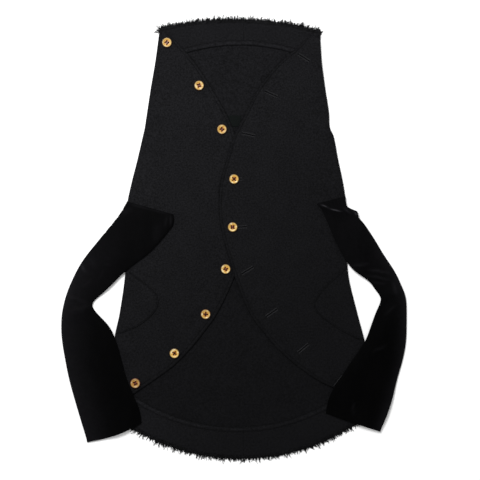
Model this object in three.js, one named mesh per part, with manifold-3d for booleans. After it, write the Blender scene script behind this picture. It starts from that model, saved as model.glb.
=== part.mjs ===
// A round-cut cardigan jacket of black milled wool with velvet sleeves, laid flat on its back.
// The fronts are buttoned in the middle and the sleeves are folded down over them.
// Millimetres: +X to the button-free side, +Y towards the neck hem, +Z up from the surface it lies on.
// The origin is at the middle of the whole garment, on that surface.

import * as THREE from "three";
import { mergeVertices } from "three/addons/utils/BufferGeometryUtils.js";
import Module from "manifold-3d";

const wasm = await Module();
wasm.setup();

// ---- Cloth thicknesses ----

const WOOL = 1.8;
const VELVET = 1.4;
const FACING = 1.4;
const POCKET = 1.2;
const LABEL = 0.6;
const GAP = 0.3; // clear space between pieces, at seams and between layers

// ---- The cut of the body ----

// Both side seams and both front edges, from the neck hem down to the skirt hem.
const BODY = [
  { y: 452, leftSide: -159, leftEdge: -151, rightEdge: 177, rightSide: 186 },
  { y: 420, leftSide: -163, leftEdge: -118, rightEdge: 145, rightSide: 187 },
  { y: 377, leftSide: -169, leftEdge: -81, rightEdge: 95, rightSide: 190 },
  { y: 325, leftSide: -178, leftEdge: -47, rightEdge: 53, rightSide: 197 },
  { y: 273, leftSide: -186, leftEdge: -17, rightEdge: 26, rightSide: 205 },
  { y: 240, leftSide: -191, leftEdge: -2, rightEdge: 9, rightSide: 207 },
  { y: 222, leftSide: -195, leftEdge: 4, rightEdge: 0, rightSide: 215 },
  { y: 170, leftSide: -207, leftEdge: 16, rightEdge: -16, rightSide: 225 },
  { y: 123, leftSide: -219, leftEdge: 22, rightEdge: -29, rightSide: 235 },
  { y: 74, leftSide: -229, leftEdge: 25, rightEdge: -32, rightSide: 242 },
  { y: 24, leftSide: -231, leftEdge: 21, rightEdge: -28, rightSide: 244 },
  { y: -71, leftSide: -233, leftEdge: 5, rightEdge: -1, rightSide: 246 },
  { y: -159, leftSide: -245, leftEdge: -35, rightEdge: 34, rightSide: 266 },
  { y: -200, leftSide: -254, leftEdge: -64, rightEdge: 64, rightSide: 277 },
  { y: -238, leftSide: -260, leftEdge: -95, rightEdge: 97, rightSide: 286 },
  { y: -273, leftSide: -265, leftEdge: -130, rightEdge: 137, rightSide: 292 },
  { y: -307, leftSide: -268, leftEdge: -177, rightEdge: 188, rightSide: 298 },
  { y: -341, leftSide: -270, leftEdge: -228, rightEdge: 266, rightSide: 302 },
  { y: -360, leftSide: -271, leftEdge: -256, rightEdge: 291, rightSide: 303 },
];

// Each hem and each facing's inner edge is an arc.
const HEM_TOP = { x: -1, y: -233, radius: 705 };
const HEM_BOTTOM = { x: 18, y: -22, radius: 450 };
const FACING_TOP = { x: 14, y: 30, radius: 387 };
const FACING_BOTTOM = { x: 7, y: 0, radius: 408 };
const CENTRE_BACK = 22; // x of the seam that joins the facings

// The inner outline of each pocket, from its upper end on the side seam to its lower end.
const POCKET_LEFT = [
  { y: -70, x: -224 },
  { y: -96, x: -188 },
  { y: -117, x: -166 },
  { y: -133, x: -162 },
  { y: -149, x: -165 },
  { y: -164, x: -176 },
  { y: -178, x: -192 },
  { y: -190, x: -212 },
  { y: -202, x: -243 },
];
const POCKET_RIGHT = [
  { y: -64, x: 241 },
  { y: -84, x: 216 },
  { y: -110, x: 190 },
  { y: -130, x: 176 },
  { y: -141, x: 172 },
  { y: -156, x: 178 },
  { y: -168, x: 190 },
  { y: -182, x: 209 },
  { y: -198, x: 234 },
  { y: -214, x: 266 },
];

// The armholes: the side seam's upper end, the front corner and the side seam's lower end.
const ARMHOLE_LEFT = [
  { x: -229, y: 81 },
  { x: -128, y: 53 },
  { x: -230, y: -34 },
];
const ARMHOLE_RIGHT = [
  { x: 240, y: 92 },
  { x: 178, y: 76 },
  { x: 243, y: 34 },
];
const ARMHOLE_LAP = 4; // how far each sleeve laps over the armhole's edge

// ---- Soft form of the fronts ----

const SEAM_EASE = 0.9; // a front's free edge lies this far above the back
const SEAM_EASE_REACH = 40;
const CROWN = 1.7; // further rise in the middle of a front
const RAMP = 26; // a layer comes down over this distance, past one as wide that stays level

// Soft ridges in the wool, from one end to the other.
const BODY_CREASES = [
  { x1: 111, y1: 239, x2: 68, y2: 196, height: 1.6, width: 13 },
  { x1: 113, y1: 301, x2: 105, y2: 268, height: 1.1, width: 12 },
  { x1: -88, y1: 26, x2: -50, y2: 10, height: 1.4, width: 12 },
  { x1: 110, y1: 40, x2: 60, y2: -30, height: 1.0, width: 16 },
  { x1: -150, y1: 190, x2: -95, y2: 120, height: 1.0, width: 16 },
  { x1: 120, y1: -205, x2: 190, y2: -250, height: 1.1, width: 15 },
];

// ---- Sleeves ----

// A row is a line across the sleeve from its outer to its inner fold, with its height there.
const SLEEVE_LEFT = [
  { outerX: -229, outerY: 81, innerX: -128, innerY: 53, loft: 3.4 },
  { outerX: -247, outerY: 51, innerX: -127, innerY: 32, loft: 6.2 },
  { outerX: -274, outerY: 18, innerX: -154, innerY: -2, loft: 6.6 },
  { outerX: -302, outerY: -16, innerX: -181, innerY: -31, loft: 6.2 },
  { outerX: -329, outerY: -52, innerX: -227, innerY: -65, loft: 6.0 },
  { outerX: -349, outerY: -92, innerX: -257, innerY: -95, loft: 6.4 },
  { outerX: -359, outerY: -118, innerX: -283, innerY: -119, loft: 6.8 },
  { outerX: -365, outerY: -140, innerX: -304, innerY: -138, loft: 7.0 },
  { outerX: -369, outerY: -160, innerX: -294, innerY: -158, loft: 6.6 },
  { outerX: -371, outerY: -184, innerX: -269, innerY: -182, loft: 6.0 },
  { outerX: -370, outerY: -215, innerX: -253, innerY: -212, loft: 6.0 },
  { outerX: -363, outerY: -258, innerX: -239, innerY: -258, loft: 6.2 },
  { outerX: -354, outerY: -303, innerX: -226, innerY: -305, loft: 6.0 },
  { outerX: -341, outerY: -350, innerX: -206, innerY: -350, loft: 5.6 },
  { outerX: -327, outerY: -397, innerX: -198, innerY: -376, loft: 5.5 },
  { outerX: -315, outerY: -436, innerX: -197, innerY: -394, loft: 5.2 },
];
const SLEEVE_RIGHT = [
  { outerX: 240, outerY: 92, innerX: 178, innerY: 76, loft: 3.4 },
  { outerX: 243, outerY: 69, innerX: 182, innerY: 71, loft: 6.6 },
  { outerX: 266, outerY: 59, innerX: 187, innerY: 66, loft: 6.9 },
  { outerX: 268, outerY: 47, innerX: 192, innerY: 55, loft: 5.2 },
  { outerX: 281, outerY: 32, innerX: 201, innerY: 36, loft: 6.0 },
  { outerX: 303, outerY: 0, innerX: 217, innerY: -4, loft: 6.4 },
  { outerX: 323, outerY: -34, innerX: 235, innerY: -38, loft: 6.2 },
  { outerX: 346, outerY: -68, innerX: 256, innerY: -67, loft: 6.0 },
  { outerX: 359, outerY: -96, innerX: 289, innerY: -89, loft: 6.6 },
  { outerX: 368, outerY: -118, innerX: 304, innerY: -109, loft: 6.9 },
  { outerX: 371, outerY: -134, innerX: 317, innerY: -129, loft: 7.0 },
  { outerX: 372, outerY: -158, innerX: 305, innerY: -156, loft: 6.4 },
  { outerX: 372, outerY: -187, innerX: 293, innerY: -188, loft: 6.0 },
  { outerX: 371, outerY: -221, innerX: 281, innerY: -220, loft: 6.0 },
  { outerX: 364, outerY: -260, innerX: 253, innerY: -260, loft: 6.2 },
  { outerX: 353, outerY: -298, innerX: 228, innerY: -297, loft: 6.0 },
  { outerX: 343, outerY: -339, innerX: 206, innerY: -332, loft: 5.6 },
  { outerX: 330, outerY: -378, innerX: 199, innerY: -356, loft: 5.4 },
  { outerX: 315, outerY: -413, innerX: 197, innerY: -373, loft: 5.0 },
];
const CUFF_BOW = { left: 7, right: 1 }; // how far the middle of each cuff hangs past its corners
const CUFF_BOW_ROWS = 3;
const STEPS_PER_ROW = 2;
const UPPER_STEPS = 10; // round the upper layer of a sleeve, from fold to fold
const LOWER_STEPS = 6; // round the lower layer
const CLEAR_OF_ARMHOLE = { left: 4, right: 5 }; // the first row whose lower layer is past the armhole's rim

// Folds pressed up out of the velvet.
const SLEEVE_CREASES = [
  { x1: -312, y1: -22, x2: -236, y2: -54, height: 1.8, width: 10 },
  { x1: -284, y1: 12, x2: -200, y2: -20, height: 1.2, width: 12 },
  { x1: -302, y1: -136, x2: -352, y2: -112, height: 2.4, width: 9 },
  { x1: -302, y1: -142, x2: -356, y2: -166, height: 2.2, width: 9 },
  { x1: -292, y1: -186, x2: -338, y2: -232, height: 1.5, width: 11 },
  { x1: -140, y1: 46, x2: -142, y2: 10, height: 1.5, width: 8 },
  { x1: 190, y1: 70, x2: 240, y2: 60, height: 1.8, width: 8 },
  { x1: 270, y1: -64, x2: 336, y2: -82, height: 2.0, width: 10 },
  { x1: 314, y1: -126, x2: 362, y2: -108, height: 2.4, width: 9 },
  { x1: 349, y1: -144, x2: 319, y2: -184, height: 2.0, width: 10 },
  { x1: 319, y1: -184, x2: 303, y2: -242, height: 1.6, width: 11 },
  { x1: 240, y1: 20, x2: 290, y2: -12, height: 1.2, width: 12 },
];

// ---- Buttons and buttonholes ----

const BUTTON = { radius: 11.5, height: 3.8, floor: 2.6, holeRadius: 1.1, holeOffset: 2.7, sides: 16 };
const BUTTONS = [
  { x: -143, y: 422, turn: 45, front: "left" },
  { x: -74, y: 330, turn: 20, front: "left" },
  { x: -25, y: 236, turn: 30, front: "left" },
  { x: 1, y: 129, turn: 45, front: "right" },
  { x: -2, y: 26, turn: 2, front: "right" },
  { x: -17, y: -64, turn: 60, front: "left" },
  { x: -60, y: -161, turn: 38, front: "left" },
  { x: -127, y: -245, turn: 12, front: "left" },
  { x: -211, y: -309, turn: 25, front: "left" },
];
const BUTTONHOLE = { length: 28, width: 1 };
const BUTTONHOLES = [
  { x: 151, y: 390, turn: -32 },
  { x: 81, y: 312, turn: -24 },
  { x: 32, y: 225, turn: -12 },
  { x: 4, y: 129, turn: 0 },
  { x: 14, y: 26, turn: 4 },
  { x: 30, y: -67, turn: 31 },
  { x: 82, y: -158, turn: 35 },
  { x: 150, y: -234, turn: 40 },
  { x: 226, y: -305, turn: 52 },
];

// ---- Frayed hems ----

const FRAY_STRIP = { width: 1.5, low: 0.3, high: 1.6 };
const FRAY_TOP = { strands: 60, shortest: 2, longest: 6, seed: 11 };
const FRAY_BOTTOM = { strands: 100, shortest: 2.5, longest: 8, seed: 23 };

const COLOURS = { wool: 0x1c1c1e, velvet: 0x0d0a0d, facing: 0x1a1a1c, label: 0x15181c, button: 0xd9a566 };

// ---- Curves and blends ----

const clamp = (value, low, high) => Math.min(high, Math.max(low, value));
const mix = (a, b, share) => a + (b - a) * share;

/** 0 up to `from`, 1 past `to`, and smooth between. */
function ease(value, from, to) {
  const share = clamp((value - from) / (to - from), 0, 1);
  return share * share * (3 - 2 * share);
}

/** A smooth curve through a table: the column `name` as a function of the column `by`. */
function column(table, by, name) {
  const rows = [...table].sort((a, b) => a[by] - b[by]);
  const slope = (i) => {
    const before = rows[Math.max(0, i - 1)];
    const after = rows[Math.min(rows.length - 1, i + 1)];
    return (after[name] - before[name]) / (after[by] - before[by]);
  };
  return (value) => {
    const at = clamp(value, rows[0][by], rows.at(-1)[by]);
    const i = Math.max(0, rows.findLastIndex((row, k) => row[by] <= at && k < rows.length - 1));
    const [a, b] = [rows[i], rows[i + 1]];
    const span = b[by] - a[by];
    const t = (at - a[by]) / span;
    const curve = (2 * t ** 3 - 3 * t ** 2 + 1) * a[name] + (3 * t ** 2 - 2 * t ** 3) * b[name];
    return curve + span * ((t ** 3 - 2 * t ** 2 + t) * slope(i) + (t ** 3 - t ** 2) * slope(i + 1));
  };
}

const leftSide = column(BODY, "y", "leftSide");
const rightSide = column(BODY, "y", "rightSide");
const leftEdge = column(BODY, "y", "leftEdge");
const rightEdge = column(BODY, "y", "rightEdge");

/** How far a point lies to the right of a curve x(y), measured square to the curve. */
function rightOf(curve, x, y) {
  const slope = (curve(y + 2) - curve(y - 2)) / 4;
  return (x - curve(y)) / Math.hypot(1, slope);
}

const fromCentre = (circle, x, y) => Math.hypot(x - circle.x, y - circle.y);

/** The height on a circle at x, on its upper (+1) or lower (-1) half. */
const arcY = (circle, x, half) => circle.y + half * Math.sqrt(circle.radius ** 2 - (x - circle.x) ** 2);

/** The rise of all ridges of a table at a point: each fades across its width and past its ends. */
function creaseHeight(creases, x, y) {
  return creases.reduce((sum, crease) => {
    const [alongX, alongY] = [crease.x2 - crease.x1, crease.y2 - crease.y1];
    const length = Math.hypot(alongX, alongY);
    const along = ((x - crease.x1) * alongX + (y - crease.y1) * alongY) / length;
    const across = ((x - crease.x1) * alongY - (y - crease.y1) * alongX) / length;
    const past = Math.max(0, -along, along - length);
    return sum + crease.height * Math.exp(-((across ** 2 + past ** 2) / crease.width ** 2));
  }, 0);
}

/** The numbers 0 to 1 in even steps. */
const steps = (count) => Array.from({ length: count + 1 }, (_, i) => i / count);

// ---- How high each layer lies ----

/** Lifts `base` to `height` where mask is 1. */
const over = (base, height, mask) => base + mask * Math.max(0, height - base);

/** 1 on a shape and for a ramp's width around it, then down to 0. Distances are positive inside. */
const reach = (inside) => ease(inside, -2 * RAMP, -RAMP);

/** Distance inside the body's outline, negative outside. */
function insideBody(x, y) {
  const hem = y > 0 ? HEM_TOP : HEM_BOTTOM;
  return Math.min(rightOf(leftSide, x, y), -rightOf(rightSide, x, y), hem.radius - fromCentre(hem, x, y));
}

/** Distance into a facing from its inner edge, negative outside. */
function insideFacing(x, y) {
  const circle = y > 0 ? FACING_TOP : FACING_BOTTOM;
  return Math.abs(y) < 200 ? -200 : fromCentre(circle, x, y) - circle.radius;
}

/** The underside of a front that lies straight on the back. */
function frontUnderside(side, edge, x, y) {
  const width = Math.abs(edge(y) - side(y));
  const share = clamp(Math.abs(x - side(y)) / width, 0, 1);
  const lie = SEAM_EASE * ease(Math.abs(x - side(y)), 0, SEAM_EASE_REACH);
  const crown = CROWN * 4 * share * (1 - share) * clamp(width / 160, 0, 1);
  const facing = (FACING + GAP) * reach(insideFacing(x, y));
  return WOOL + GAP + facing + lie + crown + creaseHeight(BODY_CREASES, x, y);
}

const leftUnderside = (x, y) => frontUnderside(leftSide, leftEdge, x, y);
const leftTop = (x, y) => leftUnderside(x, y) + WOOL;

/** The right front rides over the left one where they overlap. */
function rightUnderside(x, y) {
  const lift = reach(-rightOf(leftEdge, x, y));
  return over(frontUnderside(rightSide, rightEdge, x, y), leftTop(x, y) + GAP, lift);
}

const rightTop = (x, y) => rightUnderside(x, y) + WOOL;

/** What a sleeve lies on: the body where it covers it, and the floor beyond. */
function sleeveRest(x, y) {
  const body = reach(insideBody(x, y));
  const back = over(0, WOOL + GAP + FACING * reach(insideFacing(x, y)), body);
  const onLeft = over(back, leftTop(x, y) + GAP, Math.min(body, reach(-rightOf(leftEdge, x, y))));
  const onRight = over(back, rightTop(x, y) + GAP, Math.min(body, reach(rightOf(rightEdge, x, y))));
  return x < 0 ? onLeft : onRight;
}

// ---- Closed solids ----

/** A geometry of closed faces, turned to face outwards. */
function closed(points, faces) {
  const volume = faces.reduce((sum, [a, b, c]) => {
    const cross = new THREE.Vector3().crossVectors(points[b], points[c]);
    return sum + points[a].dot(cross);
  }, 0);
  const outward = volume < 0 ? faces.map(([a, b, c]) => [a, c, b]) : faces;
  const geometry = new THREE.BufferGeometry().setFromPoints(points);
  geometry.setIndex(outward.flat());
  return geometry;
}

/** A sheet of cloth between an upper and a lower grid of points, walled round its rim. */
function sheet(upper, lower) {
  const rows = upper.length;
  const columns = upper[0].length;
  const top = (r, c) => r * columns + c;
  const bottom = (r, c) => rows * columns + top(r, c);
  const faces = [];
  const quad = (a, b, c, d) => faces.push([a, b, c], [a, c, d]);
  for (let r = 0; r + 1 < rows; r++)
    for (let c = 0; c + 1 < columns; c++) {
      quad(top(r, c), top(r, c + 1), top(r + 1, c + 1), top(r + 1, c));
      quad(bottom(r, c), bottom(r + 1, c), bottom(r + 1, c + 1), bottom(r, c + 1));
    }
  const across = Array.from({ length: columns - 1 }, (_, c) => c);
  const down = Array.from({ length: rows - 1 }, (_, r) => r);
  const rim = [
    ...across.map((c) => [0, c]),
    ...down.map((r) => [r, columns - 1]),
    ...across.map((c) => [rows - 1, columns - 1 - c]),
    ...down.map((r) => [rows - 1 - r, 0]),
  ];
  rim.forEach((here, i) => {
    const next = rim[(i + 1) % rim.length];
    quad(top(...next), top(...here), bottom(...here), bottom(...next));
  });
  return closed([...upper.flat(), ...lower.flat()], faces);
}

/** A sheet over a grid of plan points, between two heights worked out at each point. */
function laidSheet(plan, low, high) {
  const at = (height) => plan.map((row) => row.map(([x, y]) => new THREE.Vector3(x, y, height(x, y))));
  return sheet(at(high), at(low));
}

/** An open-ended tube of cloth through sections that each hold an outer and an inner ring. */
function tube(sections) {
  const count = sections[0].outer.length;
  const points = sections.flatMap((section) => [...section.outer, ...section.inner]);
  const outer = (s, i) => s * 2 * count + (i % count);
  const inner = (s, i) => outer(s, i) + count;
  const faces = [];
  const quad = (a, b, c, d) => faces.push([a, b, c], [a, c, d]);
  const last = sections.length - 1;
  for (let i = 0; i < count; i++) {
    for (let s = 0; s < last; s++) {
      quad(outer(s, i), outer(s, i + 1), outer(s + 1, i + 1), outer(s + 1, i));
      quad(inner(s, i), inner(s + 1, i), inner(s + 1, i + 1), inner(s, i + 1));
    }
    quad(outer(0, i + 1), outer(0, i), inner(0, i), inner(0, i + 1));
    quad(outer(last, i), outer(last, i + 1), inner(last, i + 1), inner(last, i));
  }
  return closed(points, faces);
}

/** A geometry as a solid that can be joined and cut. */
function toSolid(geometry) {
  const bare = geometry.clone().deleteAttribute("normal").deleteAttribute("uv");
  const merged = mergeVertices(bare, 1e-4);
  return new wasm.Manifold(
    new wasm.Mesh({
      numProp: 3,
      vertProperties: merged.attributes.position.array,
      triVerts: new Uint32Array(merged.index.array),
    }),
  );
}

/** A solid back as a geometry. */
function toGeometry(solid) {
  const mesh = solid.getMesh();
  const geometry = new THREE.BufferGeometry();
  geometry.setAttribute("position", new THREE.BufferAttribute(mesh.vertProperties, 3));
  return geometry.setIndex(new THREE.BufferAttribute(mesh.triVerts, 1));
}

const group = new THREE.Group();

/** Adds a named piece of one material to the garment. */
function add(name, geometry, color, roughness = 0.95) {
  const mesh = new THREE.Mesh(geometry, new THREE.MeshStandardMaterial({ color, roughness }));
  geometry.computeVertexNormals();
  mesh.name = name;
  group.add(mesh);
  return mesh;
}

// ---- Back and facings ----

/** Plan points of the back, from the neck hem to the skirt hem. */
function backPlan() {
  const [top, bottom] = [BODY[0], BODY.at(-1)];
  return steps(22).map((down) =>
    steps(12).map((share) => {
      const neck = arcY(HEM_TOP, mix(top.leftSide, top.rightSide, share), 1);
      const hem = arcY(HEM_BOTTOM, mix(bottom.leftSide, bottom.rightSide, share), -1);
      const y = mix(neck, hem, down);
      return [mix(leftSide(y), rightSide(y), share), y];
    }),
  );
}

add("back", laidSheet(backPlan(), () => 0, () => WOOL), COLOURS.wool);

const INSET = 1; // what lies on a panel keeps this far inside the panel's edge

/** A side seam's x, moved in to keep clear of the seam. */
const insideSide = (side, y) => side(y) - Math.sign(side(y)) * INSET;

/** Plan points of one facing: half = 1 at the neck and -1 at the skirt. */
function facingPlan(hem, inner, half, side) {
  const outer = { ...hem, radius: hem.radius - INSET };
  const corner = side(half > 0 ? BODY[0].y : BODY.at(-1).y);
  const seam = CENTRE_BACK + (Math.sign(corner) * GAP) / 2;
  return steps(2).map((inward) =>
    steps(9).map((share) => {
      const x = mix(seam, corner, share);
      const y = mix(arcY(outer, x, half), arcY(inner, x, half), inward);
      return [mix(seam, insideSide(side, y), share), y];
    }),
  );
}

const FACINGS = [
  { name: "facing_top_left", hem: HEM_TOP, inner: FACING_TOP, half: 1, side: leftSide },
  { name: "facing_top_right", hem: HEM_TOP, inner: FACING_TOP, half: 1, side: rightSide },
  { name: "facing_bottom_left", hem: HEM_BOTTOM, inner: FACING_BOTTOM, half: -1, side: leftSide },
  { name: "facing_bottom_right", hem: HEM_BOTTOM, inner: FACING_BOTTOM, half: -1, side: rightSide },
];
for (const { name, hem, inner, half, side } of FACINGS) {
  const plan = facingPlan(hem, inner, half, side);
  add(name, laidSheet(plan, () => WOOL + GAP, () => WOOL + GAP + FACING), COLOURS.facing);
}

// ---- Fronts ----

/** Plan points of a front. Its side runs down the side seam and round the armhole. */
function frontPlan(side, edge, armhole) {
  const [above, corner, below] = armhole;
  const inward = Math.sign(corner.x - above.x);
  const upper = { x: above.x, y: above.y - ARMHOLE_LAP };
  const tip = { x: corner.x - inward * 3 * ARMHOLE_LAP, y: corner.y - ARMHOLE_LAP };
  const [top, bottom] = [BODY[0].y, BODY.at(-1).y];
  const rows = [
    ...steps(11).map((t) => {
      const y = mix(top, upper.y, t);
      return [side(y), y, y];
    }),
    ...[0.5, 1].map((t) => [mix(upper.x, tip.x, t), mix(upper.y, tip.y, t), mix(upper.y, 48, t)]),
    ...[0.33, 0.67].map((t) => [mix(tip.x, below.x, t), mix(tip.y, below.y, t), mix(48, below.y, t)]),
    ...steps(12).map((t) => {
      const y = mix(below.y, bottom, t);
      return [side(y), y, y];
    }),
  ];
  return rows.map(([sideX, sideY, edgeY]) =>
    steps(11).map((share) => [mix(sideX, edge(edgeY), share), mix(sideY, edgeY, share)]),
  );
}

/** A slit through the cloth for one buttonhole. */
function slit({ x, y, turn }) {
  const box = new THREE.BoxGeometry(BUTTONHOLE.length, BUTTONHOLE.width, 30);
  return toSolid(box.rotateZ(THREE.MathUtils.degToRad(turn)).translate(x, y, 0));
}

const leftFront = laidSheet(frontPlan(leftSide, leftEdge, ARMHOLE_LEFT), leftUnderside, leftTop);
const rightFront = laidSheet(frontPlan(rightSide, rightEdge, ARMHOLE_RIGHT), rightUnderside, rightTop);
add("front_left", leftFront, COLOURS.wool);
const withHoles = BUTTONHOLES.reduce((cloth, hole) => cloth.subtract(slit(hole)), toSolid(rightFront));
add("front_right", toGeometry(withHoles), COLOURS.wool);

// ---- Pockets ----

/** A pocket lies on its front, between the side seam and its round outline. */
function pocket(outline, side, top) {
  const rim = column(outline, "y", "x");
  const plan = steps(9).map((down) => {
    const y = mix(outline[0].y, outline.at(-1).y, down);
    return steps(4).map((share) => [mix(insideSide(side, y), rim(y), share), y]);
  });
  return laidSheet(plan, (x, y) => top(x, y) + GAP, (x, y) => top(x, y) + GAP + POCKET);
}

add("pocket_left", pocket(POCKET_LEFT, leftSide, leftTop), COLOURS.wool);
add("pocket_right", pocket(POCKET_RIGHT, rightSide, rightTop), COLOURS.wool);

// ---- Label ----

const LABEL_SIZE = { x: 30, y: 24 };
const LABEL_PLACE = { x: 1, y: 254 };
const labelGeometry = new THREE.BoxGeometry(LABEL_SIZE.x, LABEL_SIZE.y, LABEL);
add("label", labelGeometry, COLOURS.label).position.set(LABEL_PLACE.x, LABEL_PLACE.y, WOOL + GAP + LABEL / 2);

// ---- Sleeves ----

/** The point at `across`, from the inner (-1) to the outer (1) end of a line. */
function pointAcross(inner, outer, across) {
  const share = (across + 1) / 2;
  return { x: mix(inner.x, outer.x, share), y: mix(inner.y, outer.y, share) };
}

/** The point of an armhole's lower rim that the cloth at `across` is sewn to. */
function rimPoint([above, corner, below], across) {
  const turn = 0.4; // here the rim turns at the side seam's lower end
  return across > turn
    ? pointAcross(below, above, (2 * (across - turn)) / (1 - turn) - 1)
    : pointAcross(corner, below, (2 * (across + 1)) / (1 + turn) - 1);
}

/**
 * A point of the lower layer between the armhole's rim and the first row that is clear of it.
 * The middle goes straight from one to the other, and the two folds follow the row's own ends.
 */
function lowerPoint(row, clear, armhole, across) {
  const [above, corner] = armhole;
  const rim = rimPoint(armhole, across);
  const end = pointAcross(clear.inner, clear.outer, across);
  const [nearInner, nearOuter] = [((1 - across) / 2) ** 3, ((1 + across) / 2) ** 3];
  const place = (axis) =>
    mix(rim[axis], end[axis], row.progress) +
    nearInner * (row.inner[axis] - mix(corner[axis], clear.inner[axis], row.progress)) +
    nearOuter * (row.outer[axis] - mix(above[axis], clear.outer[axis], row.progress));
  return { x: place("x"), y: place("y") };
}

/** The angles round a section, from the outer fold over the top to the inner fold and back below. */
const RING = [
  ...Array.from({ length: UPPER_STEPS }, (_, i) => (Math.PI * i) / UPPER_STEPS),
  ...Array.from({ length: LOWER_STEPS }, (_, i) => Math.PI * (1 + i / LOWER_STEPS)),
];

/** One ring of a sleeve's section. The cloth's inside is `inset` in from its outside. */
function sleeveRing(row, clear, armhole, inset) {
  const { inner, outer } = row;
  const width = Math.hypot(outer.x - inner.x, outer.y - inner.y);
  const bow = (row.bow * Math.sign(inner.x - outer.x)) / width;
  return RING.map((angle) => {
    const isUpper = angle < Math.PI;
    const across = Math.cos(angle) * (1 - ((2 * inset) / width) * Math.cos(angle) ** 4);
    const lift = Math.sign(Math.sin(angle)) * Math.abs(Math.sin(angle)) ** 0.5;
    const straight = isUpper || row.progress === 1;
    const flat = straight ? pointAcross(inner, outer, across) : lowerPoint(row, clear, armhole, across);
    const x = flat.x + bow * (1 - across ** 2) * (inner.y - outer.y);
    const y = flat.y - bow * (1 - across ** 2) * (inner.x - outer.x);
    // At the armhole's seam the upper layer comes down to the panel that it is sewn to.
    const seam = pointAcross(armhole[1], armhole[0], across);
    const rim = rimPoint(armhole, across);
    const opening = ease(Math.hypot(rim.x - seam.x, rim.y - seam.y), 0, 30);
    const sewn = isUpper ? opening * (1 - ease(row.index, 0, 0.8)) : 0;
    const height = mix(inset, row.loft - inset, (lift + 1) / 2) - sewn * (row.loft - VELVET);
    const fold = isUpper ? creaseHeight(SLEEVE_CREASES, x, y) * lift * (inset ? 0.4 : 1) : 0;
    return new THREE.Vector3(x, y, sleeveRest(x, y) + height + fold);
  });
}

/** A row of a sleeve's table as its two ends and the middle between them. */
function rowEnds({ outerX, outerY, innerX, innerY }) {
  const [inner, outer] = [new THREE.Vector2(innerX, innerY), new THREE.Vector2(outerX, outerY)];
  return { inner, outer, middle: inner.clone().lerp(outer, 0.5) };
}

/** A sleeve through its table of rows, with smooth steps between them. */
function sleeve(table, armhole, clearRow, cuffBow) {
  const last = table.length - 1;
  const rows = table.map((row, index) => ({ ...row, index }));
  const names = Object.keys(table[0]);
  const curves = names.map((name) => column(rows, "index", name));
  const seam = rowEnds(table[0]).middle;
  const clear = rowEnds(table[clearRow]);
  const sections = steps(last * STEPS_PER_ROW).map((share) => {
    const index = share * last;
    const row = Object.fromEntries(names.map((name, i) => [name, curves[i](index)]));
    const ends = rowEnds(row);
    const progress = Math.min(1, seam.distanceTo(ends.middle) / seam.distanceTo(clear.middle));
    const bow = cuffBow * ease(index, last - CUFF_BOW_ROWS, last);
    return { ...ends, index, progress, bow, loft: row.loft };
  });
  return tube(
    sections.map((row) => ({
      outer: sleeveRing(row, clear, armhole, 0),
      inner: sleeveRing(row, clear, armhole, VELVET),
    })),
  );
}

const leftSleeve = sleeve(SLEEVE_LEFT, ARMHOLE_LEFT, CLEAR_OF_ARMHOLE.left, CUFF_BOW.left);
const rightSleeve = sleeve(SLEEVE_RIGHT, ARMHOLE_RIGHT, CLEAR_OF_ARMHOLE.right, CUFF_BOW.right);
add("sleeve_left", leftSleeve, COLOURS.velvet, 0.8);
add("sleeve_right", rightSleeve, COLOURS.velvet, 0.8);

// ---- Buttons ----

/** One round button with a raised rim, a dished middle and four holes. */
function buttonGeometry() {
  const { radius, height, floor, holeRadius, holeOffset, sides } = BUTTON;
  const profile = [
    [0, 0],
    [radius - 2.2, 0],
    [radius, 1.3],
    [radius, height - 1.3],
    [radius - 1.3, height],
    [radius - 3.2, height - 0.3],
    [radius - 5, floor],
    [0, floor],
  ].map(([r, z]) => new THREE.Vector2(r, z));
  const disc = toSolid(new THREE.LatheGeometry(profile, sides).rotateX(Math.PI / 2));
  const hole = new THREE.CylinderGeometry(holeRadius, holeRadius, 20, 6).rotateX(Math.PI / 2);
  const drill = (x, y) => toSolid(hole.clone().translate(x, y, 0));
  const corners = [-1, 1].flatMap((x) => [-1, 1].map((y) => [x * holeOffset, y * holeOffset]));
  return toGeometry(corners.reduce((button, [x, y]) => button.subtract(drill(x, y)), disc));
}

/** The highest point of a surface under a button. */
function highestUnder(top, x, y) {
  const rings = [0, 0.5, 1].map((share) => share * BUTTON.radius);
  const angles = steps(12).map((turn) => turn * 2 * Math.PI);
  const heights = rings.flatMap((r) => angles.map((a) => top(x + r * Math.cos(a), y + r * Math.sin(a))));
  return Math.max(...heights);
}

BUTTONS.forEach(({ x, y, turn, front }, index) => {
  const button = add(`button_${index + 1}`, buttonGeometry(), COLOURS.button, 0.45);
  button.position.set(x, y, highestUnder(front === "left" ? leftTop : rightTop, x, y) + GAP);
  button.rotation.z = THREE.MathUtils.degToRad(turn);
});

// ---- Frayed hems ----

/** Repeatable random numbers from 0 to 1. */
function randomFrom(seed) {
  let state = seed;
  return () => {
    state = (state * 1664525 + 1013904223) % 4294967296;
    return state / 4294967296;
  };
}

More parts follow.
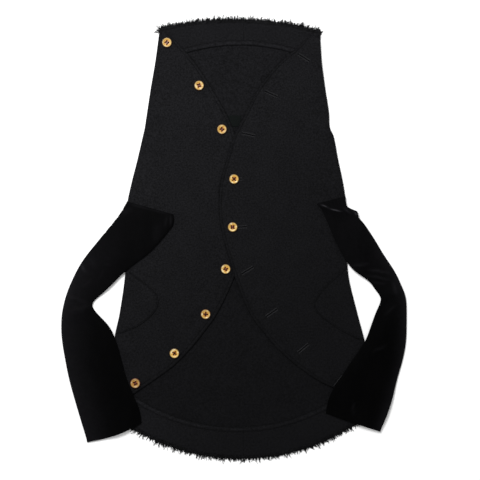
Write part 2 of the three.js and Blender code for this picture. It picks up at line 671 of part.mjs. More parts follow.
/** A narrow strip along a hem's arc, with tapering strands that stand out of it. */
function fringe(hem, half, fray) {
  const random = randomFrom(fray.seed);
  const corners = half > 0 ? BODY[0] : BODY.at(-1);
  const angleAt = (x) => Math.asin((x - hem.x) / hem.radius);
  const [from, to] = [angleAt(corners.leftSide), angleAt(corners.rightSide)];
  const place = (angle, r) => [hem.x + r * Math.sin(angle), hem.y + half * r * Math.cos(angle)];
  const low = hem.radius + GAP;
  const high = low + FRAY_STRIP.width;
  const plan = steps(40).map((share) => [low, high].map((r) => place(mix(from, to, share), r)));
  let solid = toSolid(laidSheet(plan, () => FRAY_STRIP.low, () => FRAY_STRIP.high));
  for (let i = 0; i < fray.strands; i++) {
    const angle = mix(from, to, (i + 0.3 + 0.4 * random()) / fray.strands);
    const long = mix(fray.shortest, fray.longest, random());
    const lean = (random() - 0.5) * 0.9 * long;
    const thick = mix(0.5, 0.75, random());
    const root = low + FRAY_STRIP.width * 0.5;
    const [x, y] = place(angle, root);
    const [tipX, tipY] = place(angle + lean / hem.radius, root + long);
    const along = new THREE.Vector3(Math.cos(angle), -half * Math.sin(angle), 0);
    const tipHigh = mix(0.5, 2.2, random());
    const points = [
      new THREE.Vector3(x, y, 0.95).addScaledVector(along, thick),
      new THREE.Vector3(x, y, 0.95).addScaledVector(along, -thick),
      new THREE.Vector3(x, y, 0.45),
      new THREE.Vector3(tipX, tipY, tipHigh),
    ];
    points[0].z += 0.4;
    points[1].z += 0.4;
    const strand = closed(points, [[0, 1, 2], [0, 3, 1], [1, 3, 2], [2, 3, 0]]);
    solid = solid.add(toSolid(strand));
  }
  return toGeometry(solid);
}

add("fringe_top", fringe(HEM_TOP, 1, FRAY_TOP), COLOURS.wool);
add("fringe_bottom", fringe(HEM_BOTTOM, -1, FRAY_BOTTOM), COLOURS.wool);

export default group;
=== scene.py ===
"""Dresses a round-cut cardigan jacket: milled wool, velvet sleeves, frayed hems and sewn-on buttons.

Lengths are in metres, except in the tables of the cut, which are in millimetres. +Y points to the
neck hem and +Z up from the floor. The origin is the middle of the garment's outline.
"""

import logging
import math
from abc import ABC, abstractmethod
from collections.abc import Callable, Iterable, Sequence
from dataclasses import dataclass, field, fields
from enum import Enum
from typing import Any

import bmesh
import bpy
from bmesh.types import BMesh
from bpy.types import Material, Mesh, Node, NodeSocket, NodeTree, Object
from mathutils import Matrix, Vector, noise
from mathutils.bvhtree import BVHTree
from mathutils.kdtree import KDTree

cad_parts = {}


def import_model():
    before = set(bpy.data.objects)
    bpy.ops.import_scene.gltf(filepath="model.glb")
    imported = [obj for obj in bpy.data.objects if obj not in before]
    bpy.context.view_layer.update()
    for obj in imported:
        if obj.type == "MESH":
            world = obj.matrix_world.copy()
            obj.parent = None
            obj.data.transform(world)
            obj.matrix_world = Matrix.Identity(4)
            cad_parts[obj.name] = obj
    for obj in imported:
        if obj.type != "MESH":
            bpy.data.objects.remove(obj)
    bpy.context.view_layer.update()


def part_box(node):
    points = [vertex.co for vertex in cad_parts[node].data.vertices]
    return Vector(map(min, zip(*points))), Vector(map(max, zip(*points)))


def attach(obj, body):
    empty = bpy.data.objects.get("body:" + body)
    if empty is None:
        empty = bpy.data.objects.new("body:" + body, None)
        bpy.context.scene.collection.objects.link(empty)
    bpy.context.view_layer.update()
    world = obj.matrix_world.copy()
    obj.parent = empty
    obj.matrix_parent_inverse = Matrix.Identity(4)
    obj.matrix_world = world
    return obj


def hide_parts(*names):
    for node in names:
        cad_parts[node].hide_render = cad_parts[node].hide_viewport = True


LOG = logging.getLogger("jacket")
MM = 0.001
BODY = "root"

Point = tuple[float, float]
Colour = tuple[float, float, float]
Row = tuple[Point, Point, float]  # a far point, an edge point and a slant, as edge_grid takes them
Grid = list[list[Point]]
Heights = list[list[float]]


class Side(Enum):
    """The two halves of the garment, as they lie seen from above."""

    LEFT = -1
    RIGHT = 1

    @property
    def label(self) -> str:
        """The side's word in the names of pieces."""
        return self.name.lower()


class Hem(Enum):
    """The two frayed hems, as the direction that their strands point in."""

    NECK = 1
    SKIRT = -1

    @property
    def label(self) -> str:
        """The hem's word in the names of pieces."""
        return "top" if self is Hem.NECK else "bottom"


# ---- The cut ----


@dataclass(frozen=True)
class BodyRow:
    """Where the side seams and the front edges lie at one height, in millimetres."""

    y: float
    left_side: float
    left_edge: float
    right_edge: float
    right_side: float


ROWS = (
    BodyRow(452, -159, -151, 177, 186),
    BodyRow(420, -163, -118, 145, 187),
    BodyRow(377, -169, -81, 95, 190),
    BodyRow(325, -178, -47, 53, 197),
    BodyRow(273, -186, -17, 26, 205),
    BodyRow(240, -191, -2, 9, 207),
    BodyRow(222, -195, 4, 0, 215),
    BodyRow(170, -207, 16, -16, 225),
    BodyRow(123, -219, 22, -29, 235),
    BodyRow(74, -229, 25, -32, 242),
    BodyRow(24, -231, 21, -28, 244),
    BodyRow(-71, -233, 5, -1, 246),
    BodyRow(-159, -245, -35, 34, 266),
    BodyRow(-200, -254, -64, 64, 277),
    BodyRow(-238, -260, -95, 97, 286),
    BodyRow(-273, -265, -130, 137, 292),
    BodyRow(-307, -268, -177, 188, 298),
    BodyRow(-341, -270, -228, 266, 302),
    BodyRow(-360, -271, -256, 291, 303),
)


@dataclass(frozen=True)
class Arc:
    """A circle that a hem or a facing's inner edge follows, in millimetres."""

    x: float
    y: float
    radius: float

    def y_at(self, x: float, half: int) -> float:
        """The height on the circle's upper (1) or lower (-1) half, in metres."""
        return self.y * MM + half * math.sqrt((self.radius * MM) ** 2 - (x - self.x * MM) ** 2)


HEMS = {Hem.NECK: Arc(1, -233, 706), Hem.SKIRT: Arc(15.5, -22, 450)}
FACING_EDGES = {Hem.NECK: Arc(14, 30, 387), Hem.SKIRT: Arc(7, 0, 404)}
FACING_CUTS = {Hem.NECK: (0.2, 0.095), Hem.SKIRT: (0.36, 0.1)}
CENTRE_BACK = 22 * MM

ARMHOLES = {
    Side.LEFT: ((-229, 81), (-128, 53), (-230, -34)),
    Side.RIGHT: ((240, 92), (178, 76), (243, 34)),
}
ARMHOLE_LAP = 4

POCKET_RIMS = {
    Side.LEFT: (
        (-70, -224), (-96, -188), (-117, -166), (-133, -162), (-149, -165),
        (-164, -176), (-178, -192), (-190, -212), (-202, -243),
    ),
    Side.RIGHT: (
        (-64, 241), (-84, 216), (-110, 190), (-130, 176), (-141, 172),
        (-156, 178), (-168, 190), (-182, 209), (-198, 234), (-214, 266),
    ),
}


class SmoothCurve:
    """A smooth curve through pairs of numbers."""

    def __init__(self, pairs: Iterable[Point]) -> None:
        """Keeps the pairs in order."""
        self.pairs = sorted(pairs)

    def slope(self, i: int) -> float:
        """The curve's slope at one of its pairs."""
        (x0, y0), (x1, y1) = self.pairs[max(0, i - 1)], self.pairs[min(len(self.pairs) - 1, i + 1)]
        return (y1 - y0) / (x1 - x0)

    def __call__(self, place: float) -> float:
        """The value at a place, held beyond the first and the last pair.

        Args:
            place: The place.

        Returns:
            The value.
        """
        at = min(max(place, self.pairs[0][0]), self.pairs[-1][0])
        i = max(k for k in range(len(self.pairs) - 1) if self.pairs[k][0] <= at)
        (x0, y0), (x1, y1) = self.pairs[i], self.pairs[i + 1]
        span = x1 - x0
        t = (at - x0) / span
        ends = (2 * t**3 - 3 * t**2 + 1) * y0 + (3 * t**2 - 2 * t**3) * y1
        return ends + span * ((t**3 - 2 * t**2 + t) * self.slope(i) + (t**3 - t**2) * self.slope(i + 1))


def body_curve(column: str) -> SmoothCurve:
    """One column of the body's table as a curve down the garment, in metres."""
    return SmoothCurve((row.y * MM, getattr(row, column) * MM) for row in ROWS)


SEAMS = {Side.LEFT: body_curve("left_side"), Side.RIGHT: body_curve("right_side")}
EDGES = {Side.LEFT: body_curve("left_edge"), Side.RIGHT: body_curve("right_edge")}
TOP, BOTTOM = ROWS[0].y * MM, ROWS[-1].y * MM
HEM_CORNERS = {Hem.NECK: TOP, Hem.SKIRT: BOTTOM}


def millimetres(*values: float) -> tuple[float, ...]:
    """Lengths in millimetres as metres."""
    return tuple(value * MM for value in values)


def mix(a: float, b: float, share: float) -> float:
    """The value that lies that share of the way from a to b."""
    return a + (b - a) * share


def mix_points(a: Point, b: Point, share: float) -> Point:
    """The point that lies that share of the way from a to b."""
    return mix(a[0], b[0], share), mix(a[1], b[1], share)


def steps(count: int) -> list[float]:
    """The numbers 0 to 1 in even steps."""
    return [i / count for i in range(count + 1)]


def bell(away: float, width: float) -> float:
    """1 in the middle, falling to 0 on both sides over about twice the width."""
    return math.exp(-((away / width) ** 2))


def ease(value: float, start: float, end: float) -> float:
    """0 before start, 1 past end, and smooth between."""
    share = min(1.0, max(0.0, (value - start) / (end - start)))
    return share * share * (3 - 2 * share)


# ---- Node trees ----


@dataclass(frozen=True)
class Number:
    """A number from a node's socket, on which sums are written as on any number."""

    graph: "Graph"
    socket: NodeSocket

    def math(self, operation: str, *others: "Number | float") -> "Number":
        """Adds a Math node.

        Args:
            operation: The node's operation.
            others: What follows this number in it.

        Returns:
            The node's result.
        """
        kind = "ShaderNodeMath"
        values = dict(enumerate((self, *others)))
        return Number(self.graph, self.graph.node(kind, {"operation": operation}, values).outputs[0])

    def __add__(self, other: "Number | float") -> "Number":
        """Adds."""
        return self.math("ADD", other)

    __radd__ = __add__

    def __mul__(self, other: "Number | float") -> "Number":
        """Multiplies."""
        return self.math("MULTIPLY", other)

    __rmul__ = __mul__

    def __sub__(self, other: "Number | float") -> "Number":
        """Subtracts the other."""
        return self.math("SUBTRACT", other)

    def __rsub__(self, other: float) -> "Number":
        """Subtracts this from a plain number."""
        return (self * -1.0) + other

    def __abs__(self) -> "Number":
        """The size without its sign."""
        return self.math("ABSOLUTE")

    def sine(self) -> "Number":
        """The sine."""
        return self.math("SINE")

    def eased(self, start: float, end: float) -> "Number":
        """0 at start, 1 at end, and smooth between.

        Args:
            start: Where it leaves 0.
            end: Where it reaches 1.

        Returns:
            The number.
        """
        values = {0: self, 1: start, 2: end}
        made = self.graph.node("ShaderNodeMapRange", {"interpolation_type": "SMOOTHSTEP"}, values)
        return Number(self.graph, made.outputs[0])


class Graph:
    """Adds nodes to a shader's or a geometry's node tree."""

    def __init__(self, tree: NodeTree) -> None:
        """Keeps the tree that nodes are added to."""
        self.tree = tree

    def node(
        self, kind: str, settings: dict[str, Any] | None = None, values: dict[Any, Any] | None = None
    ) -> Node:
        """Adds one node.

        Args:
            kind: The node's type.
            settings: Its own properties, which are set first.
            values: Its sockets' numbers or links, by name or by place.

        Returns:
            The node.
        """
        made = self.tree.nodes.new(kind)
        for name, value in (settings or {}).items():
            setattr(made, name, value)
        for key, value in (values or {}).items():
            source = value.socket if isinstance(value, Number) else value
            if isinstance(source, NodeSocket):
                self.tree.links.new(source, made.inputs[key])
            else:
                made.inputs[key].default_value = source
        return made

    def number(
        self,
        kind: str,
        settings: dict[str, Any] | None = None,
        values: dict[Any, Any] | None = None,
        output: Any = 0,
    ) -> Number:
        """Adds one node, as node() does, and returns one of its outputs as a number."""
        return Number(self, self.node(kind, settings, values).outputs[output])

    def split(self, vector: NodeSocket) -> list[Number]:
        """The three numbers of a vector."""
        axes = self.node("ShaderNodeSeparateXYZ", None, {0: vector}).outputs
        return [Number(self, axis) for axis in axes]


class ShaderGraph(Graph):
    """The node tree of one material."""

    def __init__(self, name: str) -> None:
        """Makes the material with an empty tree.

        Args:
            name: The material's name.
        """
        self.material = bpy.data.materials.new(name)
        self.material.use_nodes = True
        self.material.node_tree.nodes.clear()
        super().__init__(self.material.node_tree)

    def place(self) -> NodeSocket:
        """The place on the object, in metres."""
        return self.node("ShaderNodeTexCoord").outputs["Object"]

    def noise(self, place: NodeSocket, size: float, detail: float = 2.0) -> Number:
        """A soft random number from 0 to 1, in patches of that size in metres."""
        values = {"Vector": place, "Scale": 1 / size, "Detail": detail}
        return self.number("ShaderNodeTexNoise", None, values)

    def attribute(self, name: str, output: str = "Fac") -> Number:
        """What the mesh carries under that name."""
        return self.number("ShaderNodeAttribute", {"attribute_name": name}, None, output)

    def stretched(self, place: NodeSocket, scale: Sequence[float]) -> NodeSocket:
        """The place with each axis scaled, for a pattern that is longer one way."""
        return self.node("ShaderNodeMapping", None, {"Vector": place, "Scale": scale}).outputs[0]

    def blend(self, share: Number, low: Sequence[float], high: Sequence[float]) -> NodeSocket:
        """A colour between two colours.

        Args:
            share: How much of the second colour there is.
            low: The first colour, or a link to one.
            high: The second colour.

        Returns:
            The colour's socket.
        """
        first = low if isinstance(low, NodeSocket) else (*low, 1.0)
        values = {0: share, 6: first, 7: (*high, 1.0)}
        return self.node("ShaderNodeMix", {"data_type": "RGBA"}, values).outputs[2]

    def bump(self, height: Number, depth: float) -> NodeSocket:
        """The normal over a relief of that depth, in metres."""
        values = {"Height": height, "Distance": depth, "Strength": 1.0}
        return self.node("ShaderNodeBump", None, values).outputs[0]

    def finish(self, values: dict[str, Any]) -> Material:
        """Adds the surface shader.

        Args:
            values: Its sockets' numbers or links.

        Returns:
            The finished material.
        """
        shader = self.node("ShaderNodeBsdfPrincipled", None, values)
        self.node("ShaderNodeOutputMaterial", None, {"Surface": shader.outputs[0]})
        return self.material


# ---- Finishes ----

PAINTED_SHEEN = "brushed"  # the attribute of painted sheen on the velvet's colour
PAINTED_EDGE_SHADING = "pressed"  # the attribute of painted shading along sewn edges: painted shade in the groove and at the rim, less painted highlight on bands
TONE = "tone"  # the attribute that tells one button's colour from the next


@dataclass(frozen=True)
class WoolFinish:
    """Milled wool knit: a matt nap with the knit's wales just showing through, painted light falloff
    towards the lower right and painted shading along sewn edges.
    """

    name: str = "milled_wool"
    dark: Colour = (0.0013, 0.0013, 0.0015)
    light: Colour = (0.012, 0.012, 0.0136)
    wale: float = 2.2 * MM
    course: float = 0.8  # the height of a stitch as a share of its width
    wander: float = 2.5  # how many wales a wale strays to the side
    wander_size: float = 9 * MM
    nap_size: float = 0.9 * MM
    felt_size: float = 3.4 * MM
    patch_size: float = 45 * MM
    stitch_size: float = 5.5 * MM
    relief: float = 0.35 * MM
    sheen: float = 0.01
    # painted light falloff: how much darker the colour gets towards the lower right, and over which range
    # of x - y
    fade: float = 0.54
    fade_range: Point = (-0.5, 0.45)

    def material(self) -> Material:
        """Builds the finish.

        Returns:
            The material.
        """
        graph = ShaderGraph(self.name)
        place = graph.place()
        x, y, _ = graph.split(place)
        wander = graph.noise(place, self.wander_size) * (self.wander * self.wale)
        column = abs(((x + wander) * (math.pi / self.wale)).sine())
        course = abs(((y + wander * 0.7) * (math.pi / (self.course * self.wale))).sine())
        knit = column * 0.6 + course * 0.4
        nap = graph.noise(place, self.nap_size, 4.0)
        felt = graph.noise(place, self.felt_size)
        patches = graph.noise(place, self.patch_size, 3.0)
        shade = nap * 0.4 + felt * 0.5 + patches * 0.1 + knit * 0.15
        uneven = graph.noise(place, self.stitch_size).eased(0.36, 0.6) * 0.65 + 0.32
        # painted light falloff: the colour darkens towards the lower right
        painted_falloff_shade = 1.0 - (x - y).eased(*self.fade_range) * self.fade
        # painted shading along sewn edges, broken up unevenly along them by the noise above
        raised = 1.0 - graph.attribute(PAINTED_EDGE_SHADING) * uneven
        nap_and_painted_shade_share = shade.eased(0.35, 0.85) * painted_falloff_shade * raised
        height = nap * 0.5 + felt * 0.35 + knit * 0.3
        return graph.finish(
            {
                "Base Color": graph.blend(nap_and_painted_shade_share, self.dark, self.light),
                "Roughness": 0.86 + felt * 0.12,
                "Specular IOR Level": 0.05,
                "Sheen Weight": self.sheen,
                "Sheen Roughness": 0.5,
                "Normal": graph.bump(height, self.relief),
            }
        )


@dataclass(frozen=True)
class VelvetFinish:
    """Silk-like velvet: nearly black, with random brushed patches, painted sheen near the outer folds and
    towards the top, and painted highlights on ridge crests.
    """

    name: str = "velvet"
    dark: Colour = (0.0002, 0.0002, 0.00025)
    light: Colour = (0.0062, 0.006, 0.007)
    # painted highlight colour on ridge crests, and the range of painted sheen over which it takes over
    crest: Colour = (0.034, 0.033, 0.037)
    crest_range: Point = (0.7, 1.7)
    sweep_size: float = 28 * MM
    sweep_stretch: Colour = (1.0, 0.35, 1.0)
    crush_size: float = 7 * MM
    pile_size: float = 0.5 * MM
    pile: float = 0.2 * MM
    sheen: float = 0.03

    def material(self) -> Material:
        """Builds the finish.

        Returns:
            The material.
        """
        graph = ShaderGraph(self.name)
        place = graph.place()
        brushed = graph.noise(graph.stretched(place, self.sweep_stretch), self.sweep_size, 3.0)
        crushed = graph.noise(place, self.crush_size, 3.0)
        pile = graph.noise(place, self.pile_size)
        # painted sheen share from the mesh: near the outer folds, towards the top and on ridge crests
        painted_sheen_share = graph.attribute(PAINTED_SHEEN)
        patchy = brushed.eased(0.35, 0.75) * 0.05 + crushed.eased(0.35, 0.75) * 0.04
        shade = painted_sheen_share * (0.45 + crushed * 0.5 + pile * 0.3) + patchy
        # the pile's random patches with the painted sheen, then the painted crest highlight over them
        pile_and_sheen_colour = graph.blend(shade, self.dark, self.light)
        return graph.finish(
            {
                "Base Color": graph.blend(painted_sheen_share.eased(*self.crest_range), pile_and_sheen_colour, self.crest),
                "Roughness": 0.6 + crushed * 0.25,
                "Specular IOR Level": 0.02,
                "Sheen Weight": self.sheen,
                "Sheen Roughness": 0.3,
                "Normal": graph.bump(pile * 0.6 + crushed * 0.4, self.pile),
            }
        )


@dataclass(frozen=True)
class NutFinish:
    """Polished nut shell: a golden hollow, a paler rim, a stained heart, fine turned rings and painted
    shade on its outer side.
    """

    name: str = "nut_shell"
    # the colour of painted shade on the button's outer side
    edge: Colour = (0.045, 0.018, 0.005)
    rim: Colour = (0.54, 0.38, 0.09)
    hollow: Colour = (0.48, 0.22, 0.024)
    heart: Colour = (0.1, 0.012, 0.004)
    pale: Colour = (0.8, 0.67, 0.38)
    hollow_range: Point = (0.2, 0.42)  # where each colour begins, as shares of the radius
    rim_range: Point = (0.45, 0.78)
    edge_range: Point = (0.76, 0.91)
    ring_turns: float = 95.0
    grain_size: float = 1.6 * MM
    grain_stretch: Colour = (1.0, 0.25, 1.0)
    figure_size: float = 6 * MM
    relief: float = 0.05 * MM
    attribute: str = "button_place"

    def material(self) -> Material:
        """Builds the finish.

        Returns:
            The material.
        """
        graph = ShaderGraph(self.name)
        place = graph.place()
        local = graph.attribute(self.attribute, "Vector")
        radius = graph.number("ShaderNodeVectorMath", {"operation": "LENGTH"}, {0: local}, "Value")
        grain = graph.noise(graph.stretched(place, self.grain_stretch), self.grain_size, 4.0)
        figure = graph.noise(place, self.figure_size)
        uneven = radius + (figure - 0.5) * 0.35
        turned = (radius * self.ring_turns + figure * 6.0).sine() * 0.5 + 0.5
        warm = graph.blend(uneven.eased(*self.hollow_range), self.heart, self.hollow)
        golden = graph.blend(uneven.eased(*self.rim_range) * (0.7 + grain * 0.4), warm, self.rim)
        pale_share = figure.eased(0.52, 0.64) * uneven.eased(0.4, 0.7) * 0.75
        bleached = graph.blend(pale_share, golden, self.pale)
        # painted shade darkens the outer side of the button
        shell = graph.blend(radius.eased(*self.edge_range), bleached, self.edge)
        worn = graph.blend((1.0 - graph.attribute(TONE)) * (0.6 + turned * 0.1), shell, self.heart)
        return graph.finish(
            {
                "Base Color": worn,
                "Roughness": 0.3 + grain * 0.2,
                "Specular IOR Level": 0.3,
                "Coat Weight": 0.16,
                "Coat Roughness": 0.12,
                "Normal": graph.bump(turned * 0.5 + grain * 0.5, self.relief),
            }
        )


@dataclass(frozen=True)
class ThreadFinish:
    """Twisted sewing thread."""

    name: str
    colour: Colour
    twist: float = 0.5 * MM
    contrast: float = 0.4
    relief: float = 0.08 * MM

    def material(self) -> Material:
        """Builds the finish.

        Returns:
            The material.
        """
        graph = ShaderGraph(self.name)
        strand = graph.noise(graph.place(), self.twist)
        dark = tuple(channel * (1 - self.contrast) for channel in self.colour)
        light = tuple(channel * (1 + self.contrast) for channel in self.colour)
        return graph.finish(
            {
                "Base Color": graph.blend(strand.eased(0.3, 0.7), dark, light),
                "Roughness": 0.6 + strand * 0.2,
                "Specular IOR Level": 0.06,
                "Normal": graph.bump(strand, self.relief),
            }
        )


@dataclass(frozen=True)
class TapeFinish:
    """Woven label tape in a fine twill."""

    name: str = "label_tape"
    dark: Colour = (0.0014, 0.0019, 0.0018)
    light: Colour = (0.0055, 0.007, 0.0068)
    rib: float = 0.7 * MM
    lean: float = 0.6
    wear_size: float = 4 * MM
    relief: float = 0.08 * MM

    def material(self) -> Material:
        """Builds the finish.

        Returns:
            The material.
        """
        graph = ShaderGraph(self.name)
        place = graph.place()
        x, y, _ = graph.split(place)
        twill = ((x + y * self.lean) * (2 * math.pi / self.rib)).sine() * 0.5 + 0.5
        weft = (y * (2 * math.pi / (self.lean * self.rib))).sine() * 0.5 + 0.5
        soft = graph.noise(place, self.wear_size)
        height = twill * 0.6 + weft * 0.4
        return graph.finish(
            {
                "Base Color": graph.blend(height * 0.6 + soft * 0.4, self.dark, self.light),
                "Roughness": 0.6 + soft * 0.2,
                "Specular IOR Level": 0.03,
                "Normal": graph.bump(height, self.relief),
            }
        )


@dataclass(frozen=True)
class PaperFinish:
    """The plain pale surface that the garment lies on."""

    name: str = "white_paper"
    light: Colour = (0.98, 0.98, 0.98)
    shade: Colour = (0.96, 0.96, 0.96)
    mottle_size: float = 30 * MM

    def material(self) -> Material:
        """Builds the finish.

        Returns:
            The material.
        """
        graph = ShaderGraph(self.name)
        colour = graph.blend(graph.noise(graph.place(), self.mottle_size), self.shade, self.light)
        return graph.finish({"Base Color": colour, "Roughness": 0.9, "Specular IOR Level": 0.1})


@dataclass(frozen=True)
class Finishes:
    """Every material of the garment, made once."""

    wool: Material
    inside: Material
    facing: Material
    velvet: Material
    nut: Material
    label: Material
    seam_thread: Material
    hole_thread: Material
    button_thread: Material
    yarn: Material

    @classmethod
    def make(cls) -> "Finishes":
        """Makes the materials.

        Returns:
            The materials.
        """
        return cls(
            wool=WoolFinish().material(),
            inside=WoolFinish(name="back_wool", light=(0.0104, 0.0104, 0.0119)).material(),
            facing=WoolFinish(
                name="facing_wool", light=(0.0109, 0.0109, 0.0124), fade=0.44, fade_range=(0.1, 0.46)
            ).material(),
            velvet=VelvetFinish().material(),
            nut=NutFinish().material(),
            label=TapeFinish().material(),
            seam_thread=ThreadFinish("seam_thread", (0.002, 0.002, 0.0025)).material(),
            hole_thread=ThreadFinish("buttonhole_thread", (0.024, 0.024, 0.026)).material(),
            button_thread=ThreadFinish("button_thread", (0.014, 0.003, 0.002)).material(),
            yarn=ThreadFinish("frayed_yarn", (0.0055, 0.0055, 0.006), 3 * MM, 0.9).material(),
        )


# ---- Meshes ----


def add_object(name: str, mesh: Mesh, material: Material | None = None) -> Object:
    """Links a mesh into the scene as a smooth object.

    Args:
        name: The piece's name.
        mesh: Its mesh, in the garment's own place.
        material: Its finish, where the mesh doesn't hold one already.

    Returns:
        The object.
    """
    piece = bpy.data.objects.new(name, mesh)
    bpy.context.scene.collection.objects.link(piece)
    mesh.name = name
    if material:
        mesh.materials.clear()
        mesh.materials.append(material)
    mesh.shade_smooth()
    return piece


def plain_mesh(piece: Object) -> Mesh:
    """The mesh that a piece's modifiers make, as a mesh of its own."""
    found = piece.evaluated_get(bpy.context.evaluated_depsgraph_get())
    return bpy.data.meshes.new_from_object(found)


def closed_mesh(name: str, made: BMesh) -> Mesh:
    """A new mesh from an edited one, which is freed.

    Args:
        name: The mesh's name.
        made: The edited mesh.

    Returns:
        The mesh.
    """
    mesh = bpy.data.meshes.new(name)
    made.to_mesh(mesh)
    made.free()
    return mesh


def outward_mesh(name: str, points: Sequence[Vector], faces: Sequence[Sequence[int]]) -> Mesh:
    """A closed mesh of points and faces, with its faces turned outwards.

    Args:
        name: The mesh's name.
        points: Its points.
        faces: Each face's points, by number.

    Returns:
        The mesh.
    """
    mesh = bpy.data.meshes.new(name)
    mesh.from_pydata(points, [], faces)
    made = bmesh.new()
    made.from_mesh(mesh)
    bpy.data.meshes.remove(mesh)
    bmesh.ops.recalc_face_normals(made, faces=made.faces)
    return closed_mesh(name, made)


def without(piece: Object, taken: Mesh) -> Mesh:
    """The mesh of a piece without what lies inside another mesh.

    Args:
        piece: The piece, which stays as it is.
        taken: The mesh that is taken away.

    Returns:
        The mesh that is left.
    """
    cutter = bpy.data.objects.new(taken.name, taken)
    bpy.context.scene.collection.objects.link(cutter)
    cut = piece.modifiers.new("cut", "BOOLEAN")
    cut.operation, cut.solver, cut.object = "DIFFERENCE", "EXACT", cutter
    mesh = plain_mesh(piece)
    piece.modifiers.clear()
    bpy.data.objects.remove(cutter)
    return mesh


def settle(
    piece: Object, replaced: Sequence[str] = (), soft: dict[str, Any] | None = None
) -> Object:
    """Fixes a finished piece to the garment and reports it.

    Args:
        piece: The piece.
        replaced: The solids that it stands for.

    Returns:
        The piece.
    """
    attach(piece, BODY)
    if replaced:
        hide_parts(*replaced)
    LOG.info("%s: %d faces", piece.name, len(piece.data.polygons))
    return piece


class Surface:
    """The top of some meshes, for finding how high a point on them lies."""

    def __init__(self, *pieces: Object) -> None:
        """Reads the meshes.

        Args:
            pieces: Objects whose place is in their meshes.
        """
        corners: list[Vector] = []
        faces: list[list[int]] = []
        for piece in pieces:
            start = len(corners)
            corners += [vertex.co.copy() for vertex in piece.data.vertices]
            faces += [[start + i for i in face.vertices] for face in piece.data.polygons]
        self.tree = BVHTree.FromPolygons(corners, faces)

    def top(self, x: float, y: float) -> float | None:
        """The height of the uppermost face over a point, or None beside the meshes."""
        return self.hit(x, y, 1)

    def under(self, x: float, y: float) -> float | None:
        """The height of the lowest face at a point, or None beside the meshes."""
        return self.hit(x, y, -1)

    def hit(self, x: float, y: float, side: int) -> float | None:
        """Where a line from far above (1) or far below (-1) first meets the meshes."""
        found = self.tree.ray_cast(Vector((x, y, side)), Vector((0, 0, -side)))[0]
        return found.z if found else None

    def point_on(self, x: float, y: float, lift: float) -> Vector:
        """A point that far over the uppermost face, or over the floor beside the meshes."""
        return Vector((x, y, (self.top(x, y) or 0.0) + lift))


def filled(heights: list[list[float | None]]) -> Heights:
    """Fills the gaps in a grid of heights from the nearest ones of the same row, or of the nearest row.

    Args:
        heights: The grid, with None where nothing was found.

    Returns:
        The grid without gaps.
    """
    whole: dict[int, list[float]] = {}
    for r, row in enumerate(heights):
        known = [c for c, height in enumerate(row) if height is not None]
        if known:
            whole[r] = [row[min(known, key=lambda k, c=c: abs(k - c))] for c in range(len(row))]
    return [list(whole[min(whole, key=lambda k, r=r: abs(k - r))]) for r in range(len(heights))]


def smoothed(heights: Heights, passes: int) -> Heights:
    """Softens a grid of heights.

    Args:
        heights: The grid.
        passes: How many times each height moves towards its neighbours.

    Returns:
        The softer grid.
    """
    rows, columns = len(heights), len(heights[0])
    for _ in range(passes):
        before = heights
        heights = [list(row) for row in before]
        for r in range(rows):
            for c in range(columns):
                beside = [before[k][c] for k in (r - 1, r + 1) if 0 <= k < rows]
                beside += [before[r][k] for k in (c - 1, c + 1) if 0 <= k < columns]
                heights[r][c] = (before[r][c] + sum(beside) / len(beside)) / 2
    return heights


def sheet_mesh(name: str, upper: list[list[Vector]], lower: list[list[Vector]]) -> Mesh:
    """A closed sheet between two grids of points, with a wall round its rim.

    Args:
        name: The mesh's name.
        upper: The grid of its upper face.
        lower: The grid of its lower face.

    Returns:
        The mesh, with its faces pointing outwards.
    """
    rows, columns = len(upper), len(upper[0])
    faces = []
    for r in range(rows - 1):
        for c in range(columns - 1):
            corner = r * columns + c
            top = [corner, corner + 1, corner + columns + 1, corner + columns]
            faces.append(top)
            faces.append([i + rows * columns for i in reversed(top)])
    rim = [(0, c) for c in range(columns - 1)] + [(r, columns - 1) for r in range(rows - 1)]
    rim += [(rows - 1, c) for c in range(columns - 1, 0, -1)] + [(r, 0) for r in range(rows - 1, 0, -1)]
    for (r0, c0), (r1, c1) in zip(rim, rim[1:] + rim[:1], strict=True):
        a, b = r0 * columns + c0, r1 * columns + c1
        faces.append([b, a, a + rows * columns, b + rows * columns])
    points = [point for grid in (upper, lower) for row in grid for point in row]
    return outward_mesh(name, points, faces)


NEAR_SHARE = 1.6  # a row that is shorter than this many times its last offset has its offsets squeezed


def edge_grid(rows: Sequence[Row], offsets: Sequence[float], count: int) -> Grid:
    """Plan points in rows from a far line to an edge, close together at the edge.

    Args:
        rows: Each row's far point, its edge point, and its length over the way square to the edge.
        offsets: The places measured in from the edge, square to it, in metres.
        count: How many even steps there are from the far line to the last offset.

    Returns:
        The points of each row, from the far line to the edge.
    """
    reach = NEAR_SHARE * offsets[-1]
    grid = []
    for far, edge, slant in rows:
        width = math.hypot(edge[0] - far[0], edge[1] - far[1])
        squeeze = min(1.0, width / (reach * slant)) * slant / width
        near = [1 - offset * squeeze for offset in offsets]
        shares = [near[-1] * step for step in steps(count)][:-1] + near[::-1]
        grid.append([mix_points(far, edge, share) for share in shares])
    return grid


